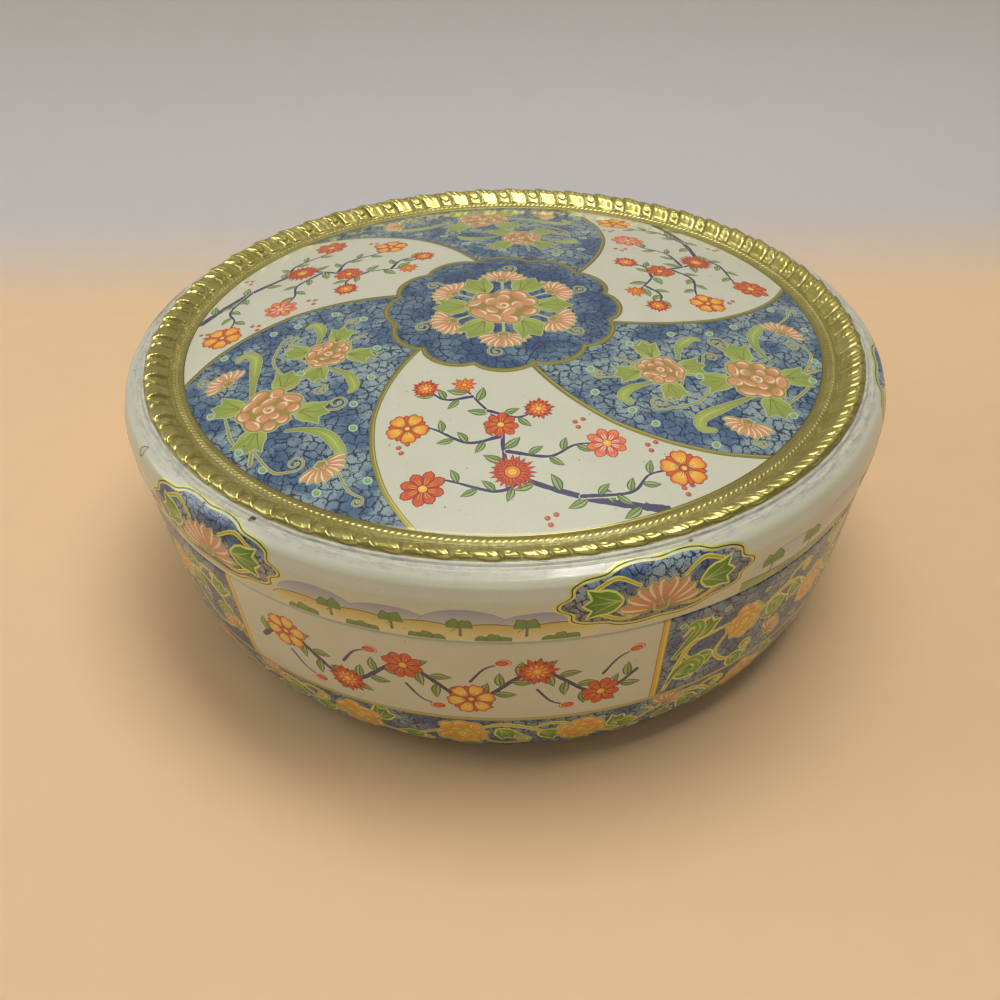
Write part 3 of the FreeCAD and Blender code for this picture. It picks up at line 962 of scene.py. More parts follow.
class Profile:
    """A filleted polyline in (r, z), sampled with both faces of the sheet.

    The sheet lies on the right of the path's direction, the normals on the left.
    """

    def __init__(self, path, chord, turn_step=13.0):
        corners = np.array([p[:2] for p in path], float)
        d = np.diff(corners, axis=0)
        d /= np.hypot(d[:, 0], d[:, 1])[:, None]
        left = np.stack([-d[:, 1], d[:, 0]], 1)
        points, normals = [corners[0]], [left[0]]

        def run(to, normal):
            last = points[-1]
            length = math.hypot(*(to - last))
            if length > 1e-6:
                k = max(1, math.ceil(length / chord))
                for j in range(1, k + 1):
                    points.append(last + (to - last) * j / k)
                    normals.append(normal)

        for i in range(1, len(corners) - 1):
            a, b, radius = d[i - 1], d[i], path[i][2]
            turn = math.atan2(a[0] * b[1] - a[1] * b[0], a[0] * b[0] + a[1] * b[1])
            side = 1.0 if turn > 0 else -1.0
            tangent = corners[i] - a * radius * math.tan(abs(turn) / 2)
            run(tangent, left[i - 1])
            centre = tangent + left[i - 1] * radius * side
            k = max(2, math.ceil(math.degrees(abs(turn)) / turn_step),
                    math.ceil(radius * abs(turn) / chord))
            for j in range(1, k + 1):
                c, s = math.cos(turn * j / k), math.sin(turn * j / k)
                rotation = np.array([[c, -s], [s, c]])
                points.append(centre + rotation @ (tangent - centre))
                normals.append(rotation @ left[i - 1])
        run(corners[-1], left[-1])
        self.face, self.normal = np.array(points), np.array(normals)
        self.back = self.face - SHEET * self.normal
        self.arc = np.r_[0, np.cumsum(np.hypot(*np.diff(self.face, axis=0).T))]

    def at(self, s, inner=False):
        """Points and normals of one face at the arc lengths s."""
        def f(a):
            return np.interp(s, self.arc, a)

        p = self.back if inner else self.face
        n = np.stack([f(self.normal[:, 0]), f(self.normal[:, 1])], 1)
        n /= np.hypot(n[:, 0], n[:, 1])[:, None]
        return np.stack([f(p[:, 0]), f(p[:, 1])], 1), (-n if inner else n)

    def s_near(self, r, z):
        s = np.linspace(0, self.arc[-1], 20001)
        p, _ = self.at(s)
        return float(s[np.argmin((p[:, 0] - r) ** 2 + (p[:, 1] - z) ** 2)])


# ------------------------------------------------------------------------------ shell building
# A domain is a flat disc or ring in which art is cut up: rho is the distance from its centre,
# and the azimuth is the tin's own.
def to_polar(p):
    return np.hypot(p[:, 0], p[:, 1]), np.arctan2(p[:, 0], -p[:, 1])


class PlanDomain:
    """Art drawn in plan, on the lid's top."""

    period = 0.0  # art does not repeat along x

    def __init__(self, profile, end):
        self.profile, self.lo, self.hi = profile, 0.0, end
        near = profile.face[:, 0] <= end + 0.5
        self.r, self.s = profile.face[near, 0], profile.arc[near]

    def warp(self, p):
        return p

    def s_of(self, rho):
        return np.interp(rho, self.r, self.s)

    def art(self, p, azimuth):
        return p


class RingDomain:
    """Art drawn unrolled: x along the rim, y minus the arc length from s_lo."""

    inner = 100.0  # rho at s_lo

    def __init__(self, profile, s_lo, s_hi, radius):
        self.profile, self.s_lo, self.radius = profile, s_lo, radius
        self.lo, self.hi = self.inner, self.inner + (s_hi - s_lo)
        self.period = TAU * radius

    def warp(self, p):
        return around(self.inner - p[:, 1], p[:, 0] / self.radius)

    def s_of(self, rho):
        return rho - self.inner + self.s_lo

    def rho_of(self, s):
        return s + self.inner - self.s_lo

    def art(self, p, azimuth):
        """Unrolled place of p, on the same turn as the azimuth given for each point."""
        rho, az = to_polar(p)
        az = azimuth + (az - azimuth + math.pi) % TAU - math.pi
        return np.stack([az * self.radius, self.inner - rho], 1)


def densify(p, longest=3.2):
    """Splits a polygon's edges so that none is longer than `longest`."""
    q = np.vstack([p, p[:1]])
    d = np.hypot(*np.diff(q, axis=0).T)
    if d.max() <= longest:
        return p
    out = []
    for i in range(len(p)):
        k = max(1, int(math.ceil(d[i] / longest)))
        out.append(q[i] + (q[i + 1] - q[i]) * (np.arange(k) / k)[:, None])
    return np.vstack(out)


def rim(radius, n):
    return around(radius, np.arange(n) * TAU / n)


def triangulate(polygons, chains, eps=1.5e-3):
    """Constrained triangulation of closed polygons and open chains: points, triangles."""
    points, edges, start = [], [], 0
    for group, closed in ((polygons, True), (chains, False)):
        for p in group:
            i = np.arange(len(p) if closed else len(p) - 1)
            points.append(p)
            edges.append(np.stack([i, (i + 1) % len(p)], 1) + start)
            start += len(p)
    points, edges = np.vstack(points), np.vstack(edges)
    vectors = [Vector(p) for p in points.tolist()]
    v, _, faces, *_ = delaunay_2d_cdt(vectors, edges.tolist(), [], 0, eps)
    return np.array([(a[0], a[1]) for a in v], float), np.array(
        [f for f in faces if len(f) == 3], int)


def within(p, lo, hi, n):
    """Whether points lie between the inscribed n-sided rims at radii lo and hi."""
    rho, az = to_polar(p)
    w = TAU / n
    f = math.cos(w / 2) / np.cos((az % w) - w / 2)
    return (rho < hi * f) & (rho > lo * f)


def loops_of(tris):
    """Closed chains of the edges that only one triangle uses."""
    e = np.vstack([tris[:, [0, 1]], tris[:, [1, 2]], tris[:, [2, 0]]])
    key = np.sort(e, 1)
    code = key[:, 0].astype(np.int64) * (key.max() + 1) + key[:, 1]
    _, inverse, count = np.unique(code, return_inverse=True, return_counts=True)
    following = {int(a): int(b) for a, b in e[count[inverse.ravel()] == 1]}
    out = []
    while following:
        a, b = following.popitem()
        loop = [a]
        while b != loop[0]:
            loop.append(b)
            b = following.pop(b)
        out.append(np.array(loop))
    return out


def winding(p, polygon):
    """Winding number of a polygon round each point."""
    x, y = p[:, 0][:, None], p[:, 1][:, None]
    x0, y0 = polygon[:, 0][None], polygon[:, 1][None]
    q = np.roll(polygon, -1, 0)
    x1, y1 = q[:, 0][None], q[:, 1][None]
    cross = (x1 - x0) * (y - y0) - (x - x0) * (y1 - y0)
    up = (y0 <= y) & (y1 > y) & (cross > 0)
    down = (y0 > y) & (y1 <= y) & (cross < 0)
    return up.sum(1) - down.sum(1)


def revolve(r, z, az):
    """3-D places, or normals, from their (r, z) parts turned to the azimuths."""
    x = r * np.sin(az)
    return np.stack([x, -r * np.cos(az), np.broadcast_to(z, x.shape)], -1)


def lift(domain, p, inner=False):
    """3-D places and normals of domain points."""
    rho, az = to_polar(p)
    q, n = domain.profile.at(domain.s_of(rho), inner)
    return revolve(q[:, 0], q[:, 1], az), revolve(n[:, 0], n[:, 1], az)


def face_normals(v, t):
    return np.cross(v[t[:, 1]] - v[t[:, 0]], v[t[:, 2]] - v[t[:, 0]])


def unit(n):
    return n / np.maximum(np.linalg.norm(n, axis=-1), 1e-12)[..., None]


def orient(v, t, n):
    """Turns a skin's triangles, all at once, to face along the normals of their corners."""
    return t[:, ::-1] if (face_normals(v, t) * n[t].sum(1)).sum() < 0 else t


def topmost(centres, polygons):
    """Index of the last polygon that covers each centre, or -1."""
    order = np.argsort(centres[:, 0], kind="stable")
    c = centres[order]
    top = np.full(len(c), -1)
    for k, q in enumerate(polygons):
        lo, hi = np.searchsorted(c[:, 0], [q[:, 0].min(), q[:, 0].max()])
        y = c[lo:hi, 1]
        near = lo + np.nonzero((y >= q[:, 1].min()) & (y <= q[:, 1].max()))[0]
        for j in range(0, len(near), 20000):
            part = near[j : j + 20000]
            top[order[part[winding(c[part], q) != 0]]] = k
    return top


def corner_colours(top, ids, shapes, art_xy, period):
    """The ink at each triangle's corners, with the washes worked in."""
    rgb = INK_RGB[ids][:, None, :].repeat(3, 1)
    by_shape = np.argsort(top, kind="stable")
    cut = np.searchsorted(top[by_shape], np.arange(len(shapes) + 1))
    for k, (_, ink, wash) in enumerate(shapes):
        if wash is None or cut[k] == cut[k + 1]:
            continue
        start, along, to = wash
        i = by_shape[cut[k] : cut[k + 1]]
        d = art_xy[i] - start
        if period:
            d[..., 0] = (d[..., 0] + period / 2) % period - period / 2
        f = np.clip((d @ along) / max(float(along @ along), 1e-9), 0, 1)[..., None]
        rgb[i] = INK_RGB[ink] * (1 - f) + INK_RGB[to] * f
    return rgb


def inner_skin(domain, chains, rows):
    """The back of the sheet, starting from the outer skin's own rim points."""
    rings = [rim(r, 72) for r in rows[::2] if domain.lo + 0.8 < r < domain.hi - 0.8]
    v, t = triangulate(chains + rings, [], 1e-7)
    centres = v[t].mean(1)
    turns = np.zeros(len(t), int)
    for q in chains:
        for j in range(0, len(t), 4000):
            turns[j : j + 4000] += winding(centres[j : j + 4000], q)
    t = t[turns != 0]
    places, normals = lift(domain, v, inner=True)
    return v, orient(places, t, normals), places, normals


def rim_faces(v, loops, inner_v, inner_loops):
    """The sheet's thickness: each outer loop joined to the inner loop of the same radius."""
    def radius(points):
        return np.hypot(points[:, 0], points[:, 1]).mean()

    def by_angle(points, loop):
        return loop[np.argsort(np.arctan2(points[loop][:, 1], points[loop][:, 0]))].tolist()

    first = len(v)
    faces = []
    for loop in loops:
        r = radius(v[loop])
        mate = min(inner_loops, key=lambda q: abs(radius(inner_v[q]) - r))
        twin = dict(zip(by_angle(v, loop), by_angle(inner_v, mate)))
        for i in range(len(loop)):
            p, q = int(loop[i]), int(loop[(i + 1) % len(loop)])
            faces += [(q, p, twin[p] + first), (q, twin[p] + first, twin[q] + first)]
    return np.array(faces)


def shell(name, art, domain, rim_sides, spokes, rows, mats, bare=None):
    """A closed piece of printed tinplate: outer skin cut along the art, inner skin and rims.

    rows are the rhos of its rings; the second material fills the arc lengths in `bare`.
    """
    shapes = []
    for p, ink, wash in art:
        q = domain.warp(densify(p))
        rho = np.hypot(q[:, 0], q[:, 1])
        if rho.min() <= domain.hi + 0.01 and rho.max() >= domain.lo:
            shapes.append((q, ink, wash))
    polygons = [s[0] for s in shapes]
    rims = [rim(domain.hi, rim_sides)] + ([rim(domain.lo, rim_sides)] if domain.lo else [])
    ring_rows = [r for r in rows if domain.lo + 0.05 < r < domain.hi - 0.05]
    rings = [rim(r, spokes) for r in ring_rows]
    ends = np.array([domain.lo or ring_rows[len(ring_rows) // 3], domain.hi])
    rays = [around(ends, a) for a in np.arange(spokes) * TAU / spokes]
    v, t = triangulate(polygons + rims + rings, rays)
    t = t[within(v[t].mean(1), domain.lo, domain.hi, rim_sides)]
    centres = v[t].mean(1)
    top = topmost(centres, polygons)
    ids = np.where(top >= 0, np.array([s[1] for s in shapes])[np.maximum(top, 0)],
                   INK_ID["cream"])

    outer, outer_n = lift(domain, v)
    t = orient(outer, t, outer_n)
    rho, az = to_polar(centres)
    art_xy = domain.art(v[t].reshape(-1, 2), np.repeat(az, 3)).reshape(-1, 3, 2)
    rgb = corner_colours(top, ids, shapes, art_xy, domain.period)

    loops = loops_of(t)
    inner_v, inner_t, inner, inner_n = inner_skin(domain, [v[l] for l in loops], rows)
    inner_loops = loops_of(inner_t)
    if sorted(map(len, inner_loops)) != sorted(map(len, loops)):
        raise RuntimeError(f"{name}: the inner and outer rims differ")
    bridge = rim_faces(v, loops, inner_v, inner_loops)

    verts = np.vstack([outer, inner])
    tris = np.vstack([t, inner_t + len(outer), bridge])
    bridge_n = unit(face_normals(verts, bridge))
    normals = np.vstack([outer_n[t].reshape(-1, 3), inner_n[inner_t].reshape(-1, 3),
                         np.repeat(bridge_n, 3, 0)])
    bare_count = len(tris) - len(t)
    rgb = np.vstack([rgb.reshape(-1, 3), np.tile(INK_RGB[INK_ID["white"]], (bare_count * 3, 1))])
    code = np.vstack([np.repeat(INK_CODE[ids], 3, 0), np.zeros((bare_count * 3, 3))])
    _, inner_az = to_polar(inner_v[inner_t].mean(1))
    inner_xy = domain.art(inner_v[inner_t].reshape(-1, 2), np.repeat(inner_az, 3))
    xy = np.vstack([art_xy.reshape(-1, 2), inner_xy, np.zeros((len(bridge) * 3, 2))])
    mat = np.r_[np.zeros(len(t), int), np.ones(bare_count, int)]
    if bare is not None:
        s = domain.s_of(rho)
        mat[: len(t)][(s > bare[0]) & (s < bare[1])] = 1
    corners = {"ink": rgb, "code": code, "art": xy}
    return mesh_piece(name, verts, tris, mats, mat, normals, corners)


def mesh_piece(name, verts, tris, mats, mat=None, normals=None, corners=None, hollow=None):
    """An object from vertices in mm and triangles, without the vertices nothing uses."""
    mesh = bpy.data.meshes.new(name)
    used = np.unique(tris)
    remap = np.full(len(verts), -1)
    remap[used] = np.arange(len(used))
    verts, tris = verts[used], remap[tris]
    mesh.vertices.add(len(verts))
    mesh.vertices.foreach_set("co", (verts * MM).astype(np.float32).ravel())
    mesh.loops.add(len(tris) * 3)
    mesh.loops.foreach_set("vertex_index", tris.astype(np.int32).ravel())
    mesh.polygons.add(len(tris))
    mesh.polygons.foreach_set("loop_start", np.arange(0, len(tris) * 3, 3, dtype=np.int32))
    mesh.update(calc_edges=True)
    for m in mats:
        mesh.materials.append(m)
    if mat is not None:
        mesh.polygons.foreach_set("material_index", mat.astype(np.int32))
    mesh.polygons.foreach_set("use_smooth", np.ones(len(tris), bool))
    for label, values in (corners or {}).items():
        padded = np.zeros((len(tris) * 3, 3), np.float32)
        padded[:, : values.shape[1]] = values
        attribute = mesh.attributes.new(label, "FLOAT_VECTOR", "CORNER")
        attribute.data.foreach_set("vector", padded.ravel())
    if hollow is not None:
        attribute = mesh.attributes.new("hollow", "FLOAT", "POINT")
        attribute.data.foreach_set("value", hollow[used].astype(np.float32))
    if normals is not None:
        mesh.normals_split_custom_set(normals.tolist())
    mesh.validate(verbose=False)
    mesh.update()
    return link(name, mesh)


def link(name, data):
    ob = bpy.data.objects.new(name, data)
    bpy.context.scene.collection.objects.link(ob)
    return ob


# ----------------------------------------------------------------------------------- materials
class Graph:
    """Short names for building a node tree."""

    def __init__(self, name):
        self.mat = bpy.data.materials.new(name)
        self.mat.use_nodes = True
        self.tree = self.mat.node_tree
        self.tree.nodes.clear()
        out = self.tree.nodes.new("ShaderNodeOutputMaterial")
        self.bsdf = self.tree.nodes.new("ShaderNodeBsdfPrincipled")
        self.tree.links.new(self.bsdf.outputs[0], out.inputs["Surface"])

    def node(self, kind, sockets=None, **props):
        n = self.tree.nodes.new("ShaderNode" + kind)
        for k, v in props.items():
            setattr(n, k, v)
        for k, v in (sockets or {}).items():
            self.set(n.inputs[k], v)
        return n

    def set(self, socket, v):
        if isinstance(v, bpy.types.NodeSocket):
            self.tree.links.new(v, socket)
        else:
            socket.default_value = v

    def attribute(self, name, out):
        return self.node("Attribute", attribute_name=name).outputs[out]

    def object_place(self):
        return self.node("TexCoord").outputs["Object"]

    def math(self, op, a, b, c=None):
        sockets = {0: a, 1: b} if c is None else {0: a, 1: b, 2: c}
        return self.node("Math", sockets, operation=op).outputs[0]

    def times(self, a, b):
        return self.math("MULTIPLY", a, b)

    def plus(self, a, b):
        return self.math("ADD", a, b)

    def linear(self, x, gain, base):
        return self.math("MULTIPLY_ADD", x, gain, base)

    def invert(self, x):
        return self.math("SUBTRACT", 1.0, x)

    def ramp(self, x, lo, hi, start=0.0, end=1.0):
        """A smooth step from start, where x is lo, to end, where it is hi."""
        sockets = {"Value": x, "From Min": lo, "From Max": hi, "To Min": start, "To Max": end}
        return self.node("MapRange", sockets, interpolation_type="SMOOTHSTEP").outputs["Result"]

    def mix(self, factor, a, b, blend="MIX"):
        sockets = {"Factor": factor, 6: a, 7: b}
        return self.node("Mix", sockets, data_type="RGBA", blend_type=blend).outputs[2]

    def tint(self, colour, by):
        return self.mix(1.0, colour, by, "MULTIPLY")

    def grey(self, x):
        return self.node("CombineXYZ", {0: x, 1: x, 2: x}).outputs[0]

    def split(self, v):
        return self.node("SeparateXYZ", {0: v}).outputs

    def noise(self, vec, scale, detail=2.0, rough=0.5, out="Fac"):
        sockets = {"Vector": vec, "Scale": scale, "Detail": detail, "Roughness": rough}
        return self.node("TexNoise", sockets, noise_dimensions="3D").outputs[out]

    def voronoi(self, vec, scale, feature="F1", out="Distance", dims="2D"):
        sockets = {"Vector": vec, "Scale": scale, "Randomness": 1.0}
        n = self.node("TexVoronoi", sockets, feature=feature, voronoi_dimensions=dims)
        return n.outputs[out]

    def specks(self, vec, scale, radius, dims="2D"):
        return self.math("LESS_THAN", self.voronoi(vec, scale, dims=dims), radius)

    def vec(self, op, a, b):
        return self.node("VectorMath", {0: a, 1: b}, operation=op).outputs[0]

    def shift(self, v, by):
        return self.vec("ADD", v, by)

    def stretch(self, v, by):
        return self.vec("MULTIPLY", v, by)

    def magnify(self, v, by):
        return self.node("VectorMath", {0: v, "Scale": by}, operation="SCALE").outputs[0]

    def bump(self, height, strength, distance, normal=None):
        sockets = {"Strength": strength, "Distance": distance, "Height": height}
        if normal is not None:
            sockets["Normal"] = normal
        return self.node("Bump", sockets).outputs[0]

    def finish(self, **sockets):
        for k, v in sockets.items():
            self.set(self.bsdf.inputs[k.replace("_", " ")], v)
        return self.mat


def rgba(rgb):
    return tuple(float(x) for x in linear(rgb)) + (1.0,)


def crackled(g, p, ink, cell):
    """Broken lines round cells of `cell` mm, over clouds of deep and pale blue."""
    bend = g.noise(p, scale=0.50, detail=3.0, rough=0.65, out="Color")
    bend = g.vec("SUBTRACT", bend, (0.5, 0.5, 0.5))
    q = g.vec("ADD", p, g.magnify(bend, by=3.0))
    edge = g.voronoi(q, scale=1.0 / cell, feature="DISTANCE_TO_EDGE")
    tone = g.split(g.voronoi(q, scale=1.0 / cell, out="Color"))[0]
    half_line = g.ramp(g.noise(p, scale=0.34), lo=0.34, hi=0.64, start=0.034, end=0.088)
    past_line = g.math("SUBTRACT", edge, half_line)
    line = g.invert(g.ramp(past_line, lo=0.0, hi=0.035))
    gap = g.noise(g.shift(p, by=(9.0, 3.0, 0.0)), scale=0.33, detail=1.0)
    line = g.times(line, g.ramp(gap, lo=0.33, hi=0.40))
    fine = g.shift(q, by=(31.0, 7.0, 0.0))
    fine = g.voronoi(fine, scale=1.9 / cell, feature="DISTANCE_TO_EDGE")
    fine = g.invert(g.ramp(fine, lo=0.025, hi=0.070))
    patches = g.ramp(g.noise(p, scale=0.42, detail=1.0), lo=0.44, hi=0.55, start=0.0, end=0.92)
    line = g.math("MAXIMUM", line, g.times(fine, patches))

    cloud = g.ramp(g.noise(p, scale=0.070, detail=3.0, rough=0.55), lo=0.40, hi=0.60)
    mottle = g.noise(p, scale=0.8, detail=3.0, rough=0.7)
    shade = g.times(g.linear(tone, gain=0.12, base=0.92), g.linear(mottle, gain=0.22, base=0.89))
    deep = g.tint(ink, by=(0.43, 0.60, 0.80, 1))
    pale = g.tint(ink, by=(2.05, 1.70, 1.26, 1))
    body = g.tint(g.mix(cloud, deep, pale), by=g.grey(shade))
    halo = g.invert(g.ramp(past_line, lo=0.02, hi=0.20))
    body = g.mix(g.times(halo, 0.06), body, rgba((150, 166, 176)))
    return g.mix(g.times(line, 0.96), body, rgba((12, 33, 68)))


def plain(g, p, ink):
    """A flat ink with a fine grain and faint clouds."""
    grain = g.linear(g.noise(p, scale=1.6, detail=3.0, rough=0.65), gain=0.20, base=0.90)
    clouds = g.linear(g.noise(p, scale=0.05, detail=4.0, rough=0.6), gain=0.14, base=0.93)
    return g.tint(ink, by=g.grey(g.times(grain, clouds)))


def aged(g, p, colour, wear):
    """Dark pin-pricks, brown specks and stains, and faint rubs. Also returns the rubs."""
    radius = g.ramp(g.noise(p, scale=0.11, detail=1.0), lo=0.45, hi=0.75)
    prick = g.specks(p, scale=0.13, radius=g.times(radius, 0.042 * wear))
    colour = g.mix(g.times(prick, 0.8), colour, rgba((54, 44, 30)))
    radius = g.ramp(g.noise(p, scale=0.21, detail=1.0), lo=0.52, hi=0.72)
    speck = g.specks(g.shift(p, by=(5.3, 2.1, 0)), scale=0.42,
                     radius=g.times(radius, 0.085 * wear))
    colour = g.mix(g.times(speck, 0.35), colour, rgba((100, 90, 66)))
    stain = g.noise(g.shift(p, by=(40, 13, 0)), scale=0.035, detail=5.0, rough=0.65)
    stain = g.ramp(stain, lo=0.60, hi=0.78)
    colour = g.mix(g.times(stain, 0.16 * wear), colour, rgba((150, 132, 92)))
    rub = g.noise(g.stretch(p, by=(0.9, 0.07, 1.0)), scale=1.0, detail=3.0, rough=0.7)
    rub_area = g.ramp(g.noise(p, scale=0.045), lo=0.48, hi=0.70)
    rubbed = g.times(g.ramp(rub, lo=0.62, hi=0.78), rub_area)
    return g.mix(g.times(rubbed, 0.14 * wear), colour, rgba((232, 232, 226))), rubbed


def lip_reflection(g, p, colour, lip):
    """Painted reflection on the lip: grey, partly metallic streaks along the rim above the heights
    `lip`, with thin near-black lines. Also returns the amount of grey.
    """
    z = g.times(g.split(g.object_place())[2], 1000.0)
    near = g.ramp(z, lo=lip[0], hi=lip[1])
    # painted reflection: grey streaks that run along the rim
    reflection_streaks = g.noise(g.stretch(p, by=(0.16, 1.1, 1.0)), scale=1.0, detail=5.0, rough=0.68)
    lip_reflected = g.times(near, g.ramp(reflection_streaks, lo=0.42, hi=0.60))
    patch = g.ramp(g.noise(p, scale=0.5, detail=3.0, rough=0.6), lo=0.40, hi=0.60)
    metal = g.mix(patch, (0.30, 0.33, 0.36, 1), (0.50, 0.50, 0.47, 1))
    colour = g.mix(g.times(lip_reflected, 0.62), colour, metal)
    # painted reflection: thin near-black lines along the rim
    dark_reflection_lines = g.stretch(g.shift(p, by=(17, 4, 0)), by=(0.30, 1.6, 1.0))
    dark_reflection_lines = g.noise(dark_reflection_lines, scale=1.0, detail=4.0, rough=0.6)
    deep = g.times(near, g.ramp(dark_reflection_lines, lo=0.66, hi=0.70))
    return g.mix(g.times(deep, 0.7), colour, (0.055, 0.06, 0.07, 1)), lip_reflected


def printed(name, cell, wear, lip=None):
    """Printed tinplate under clear lacquer. lip is the height range, in mm, of the painted
    reflection on the lip.
    """
    g = Graph(name)
    ink = g.attribute("ink", "Color")
    code = g.split(g.attribute("code", "Vector"))
    crackle, gilt = code[0], code[1]
    p = g.attribute("art", "Vector")

    colour = g.mix(crackle, plain(g, p, ink), crackled(g, p, ink, cell))
    colour, rubbed = aged(g, p, colour, wear)
    metal = g.times(gilt, 0.80)
    if lip:
        colour, lip_reflected = lip_reflection(g, p, colour, lip)
        # the painted reflection streaks are made partly metallic too
        metal = g.math("MAXIMUM", metal, g.times(lip_reflected, 0.35))
    rough = g.plus(0.36, g.times(g.noise(p, scale=0.3, detail=3.0, rough=0.6), 0.12))
    rough = g.plus(rough, g.times(rubbed, 0.22))
    rough = g.mix(gilt, g.grey(rough), (0.30, 0.30, 0.30, 1))
    wave = g.noise(p, scale=0.045, rough=0.45)
    wave = g.bump(wave, strength=0.35, distance=0.0006)
    grain = g.noise(p, scale=1.3, detail=3.0, rough=0.6)
    return g.finish(
        Base_Color=colour, Roughness=g.split(rough)[0], Metallic=metal,
        Coat_Weight=0.55, Coat_Roughness=0.08, IOR=1.46,
        Normal=g.bump(grain, strength=0.10, distance=0.00006, normal=wave),
    )


def gilt_relief():
    """Gold-lacquered embossing: painted brown shade in the hollows, leaving the crests bright."""
    g = Graph("gilt_relief")
    hollow = g.attribute("hollow", "Fac")
    p = g.magnify(g.object_place(), by=1000.0)
    broad = g.noise(p, scale=0.12, detail=4.0, rough=0.6)
    fine = g.noise(p, scale=1.1, detail=3.0, rough=0.65)
    colour = g.mix(g.ramp(broad, lo=0.35, hi=0.68), (0.50, 0.44, 0.115, 1), (0.64, 0.575, 0.19, 1))
    dull = g.times(g.ramp(fine, lo=0.55, hi=0.75), 0.35)
    colour = g.mix(dull, colour, (0.40, 0.33, 0.085, 1))
    # painted shade: the hollows are darkened to brown, and made rougher and less metallic
    hollow_shade = g.times(g.ramp(hollow, lo=0.35, hi=1.0),
                   g.ramp(fine, lo=0.25, hi=0.6, start=0.60, end=1.0))
    colour = g.mix(g.times(hollow_shade, 0.72), colour, (0.14, 0.105, 0.030, 1))
    radius = g.times(g.ramp(g.noise(p, scale=0.07, detail=1.0), lo=0.5, hi=0.72), 0.07)
    pits = g.specks(p, scale=0.16, radius=radius, dims="3D")
    colour = g.mix(g.times(pits, 0.85), colour, (0.05, 0.04, 0.02, 1))
    rough = g.plus(g.times(hollow_shade, 0.25), g.linear(fine, gain=0.16, base=0.24))
    metal = g.math("SUBTRACT", 0.97, g.times(g.math("MAXIMUM", hollow_shade, pits), 0.45))
    height = g.noise(p, scale=0.9, detail=4.0, rough=0.6)
    return g.finish(
        Base_Color=colour, Roughness=rough, Metallic=metal, Coat_Weight=0.35,
        Coat_Roughness=0.12, Normal=g.bump(height, strength=0.25, distance=0.0001),
    )


def tinplate(name, cool, warm, lacquer):
    """Bare tinplate: rolling streaks, a slight spangle, dull patches and hair scratches."""
    g = Graph(name)
    p = g.magnify(g.object_place(), by=1000.0)
    streak = g.noise(g.stretch(p, by=(0.9, 0.05, 0.3)), scale=1.0, detail=4.0, rough=0.6)
    patch = g.noise(p, scale=0.03, detail=4.0, rough=0.6)
    flake = g.split(g.voronoi(p, scale=0.22, out="Color", dims="3D"))[0]
    colour = g.mix(g.ramp(patch, lo=0.38, hi=0.66), (*cool, 1), (*warm, 1))
    shade = g.linear(streak, 0.28, g.linear(flake, gain=0.06, base=0.82))
    colour = g.tint(colour, by=g.grey(shade))
    hair = g.noise(g.stretch(p, by=(0.03, 2.4, 0.6)), scale=1.0, rough=0.7)
    area = g.ramp(g.noise(p, scale=0.04, detail=1.0), lo=0.45, hi=0.65)
    scratch = g.times(g.ramp(hair, lo=0.66, hi=0.70), area)
    colour = g.mix(g.times(scratch, 0.30), colour, (0.82, 0.82, 0.80, 1))
    radius = g.times(g.ramp(patch, lo=0.5, hi=0.75), 0.05)
    spots = g.specks(p, scale=0.10, radius=radius, dims="3D")
    colour = g.mix(g.times(spots, 0.7), colour, (0.16, 0.09, 0.04, 1))
    rough = g.plus(g.linear(streak, gain=0.22, base=0.24), g.times(patch, 0.10))
    height = g.noise(p, scale=0.25, detail=3.0, rough=0.6)
    return g.finish(
        Base_Color=colour, Roughness=rough,
        Metallic=g.math("SUBTRACT", 0.96, g.times(spots, 0.6)),
        Coat_Weight=lacquer, Coat_Roughness=0.15,
        Normal=g.bump(height, strength=0.2, distance=0.0001),
    )


# ------------------------------------------------------------------------------- gilded relief
ROPE_REPEATS = 58
BEAD_REPEATS = 360


def smooth(x, lo, hi):
    t = np.clip((x - lo) / (hi - lo), 0, 1)
    return t * t * (3 - 2 * t)


def ridge(x, centre, width):
    """A bell-shaped crest."""
    return np.exp(-(((x - centre) / width) ** 2))


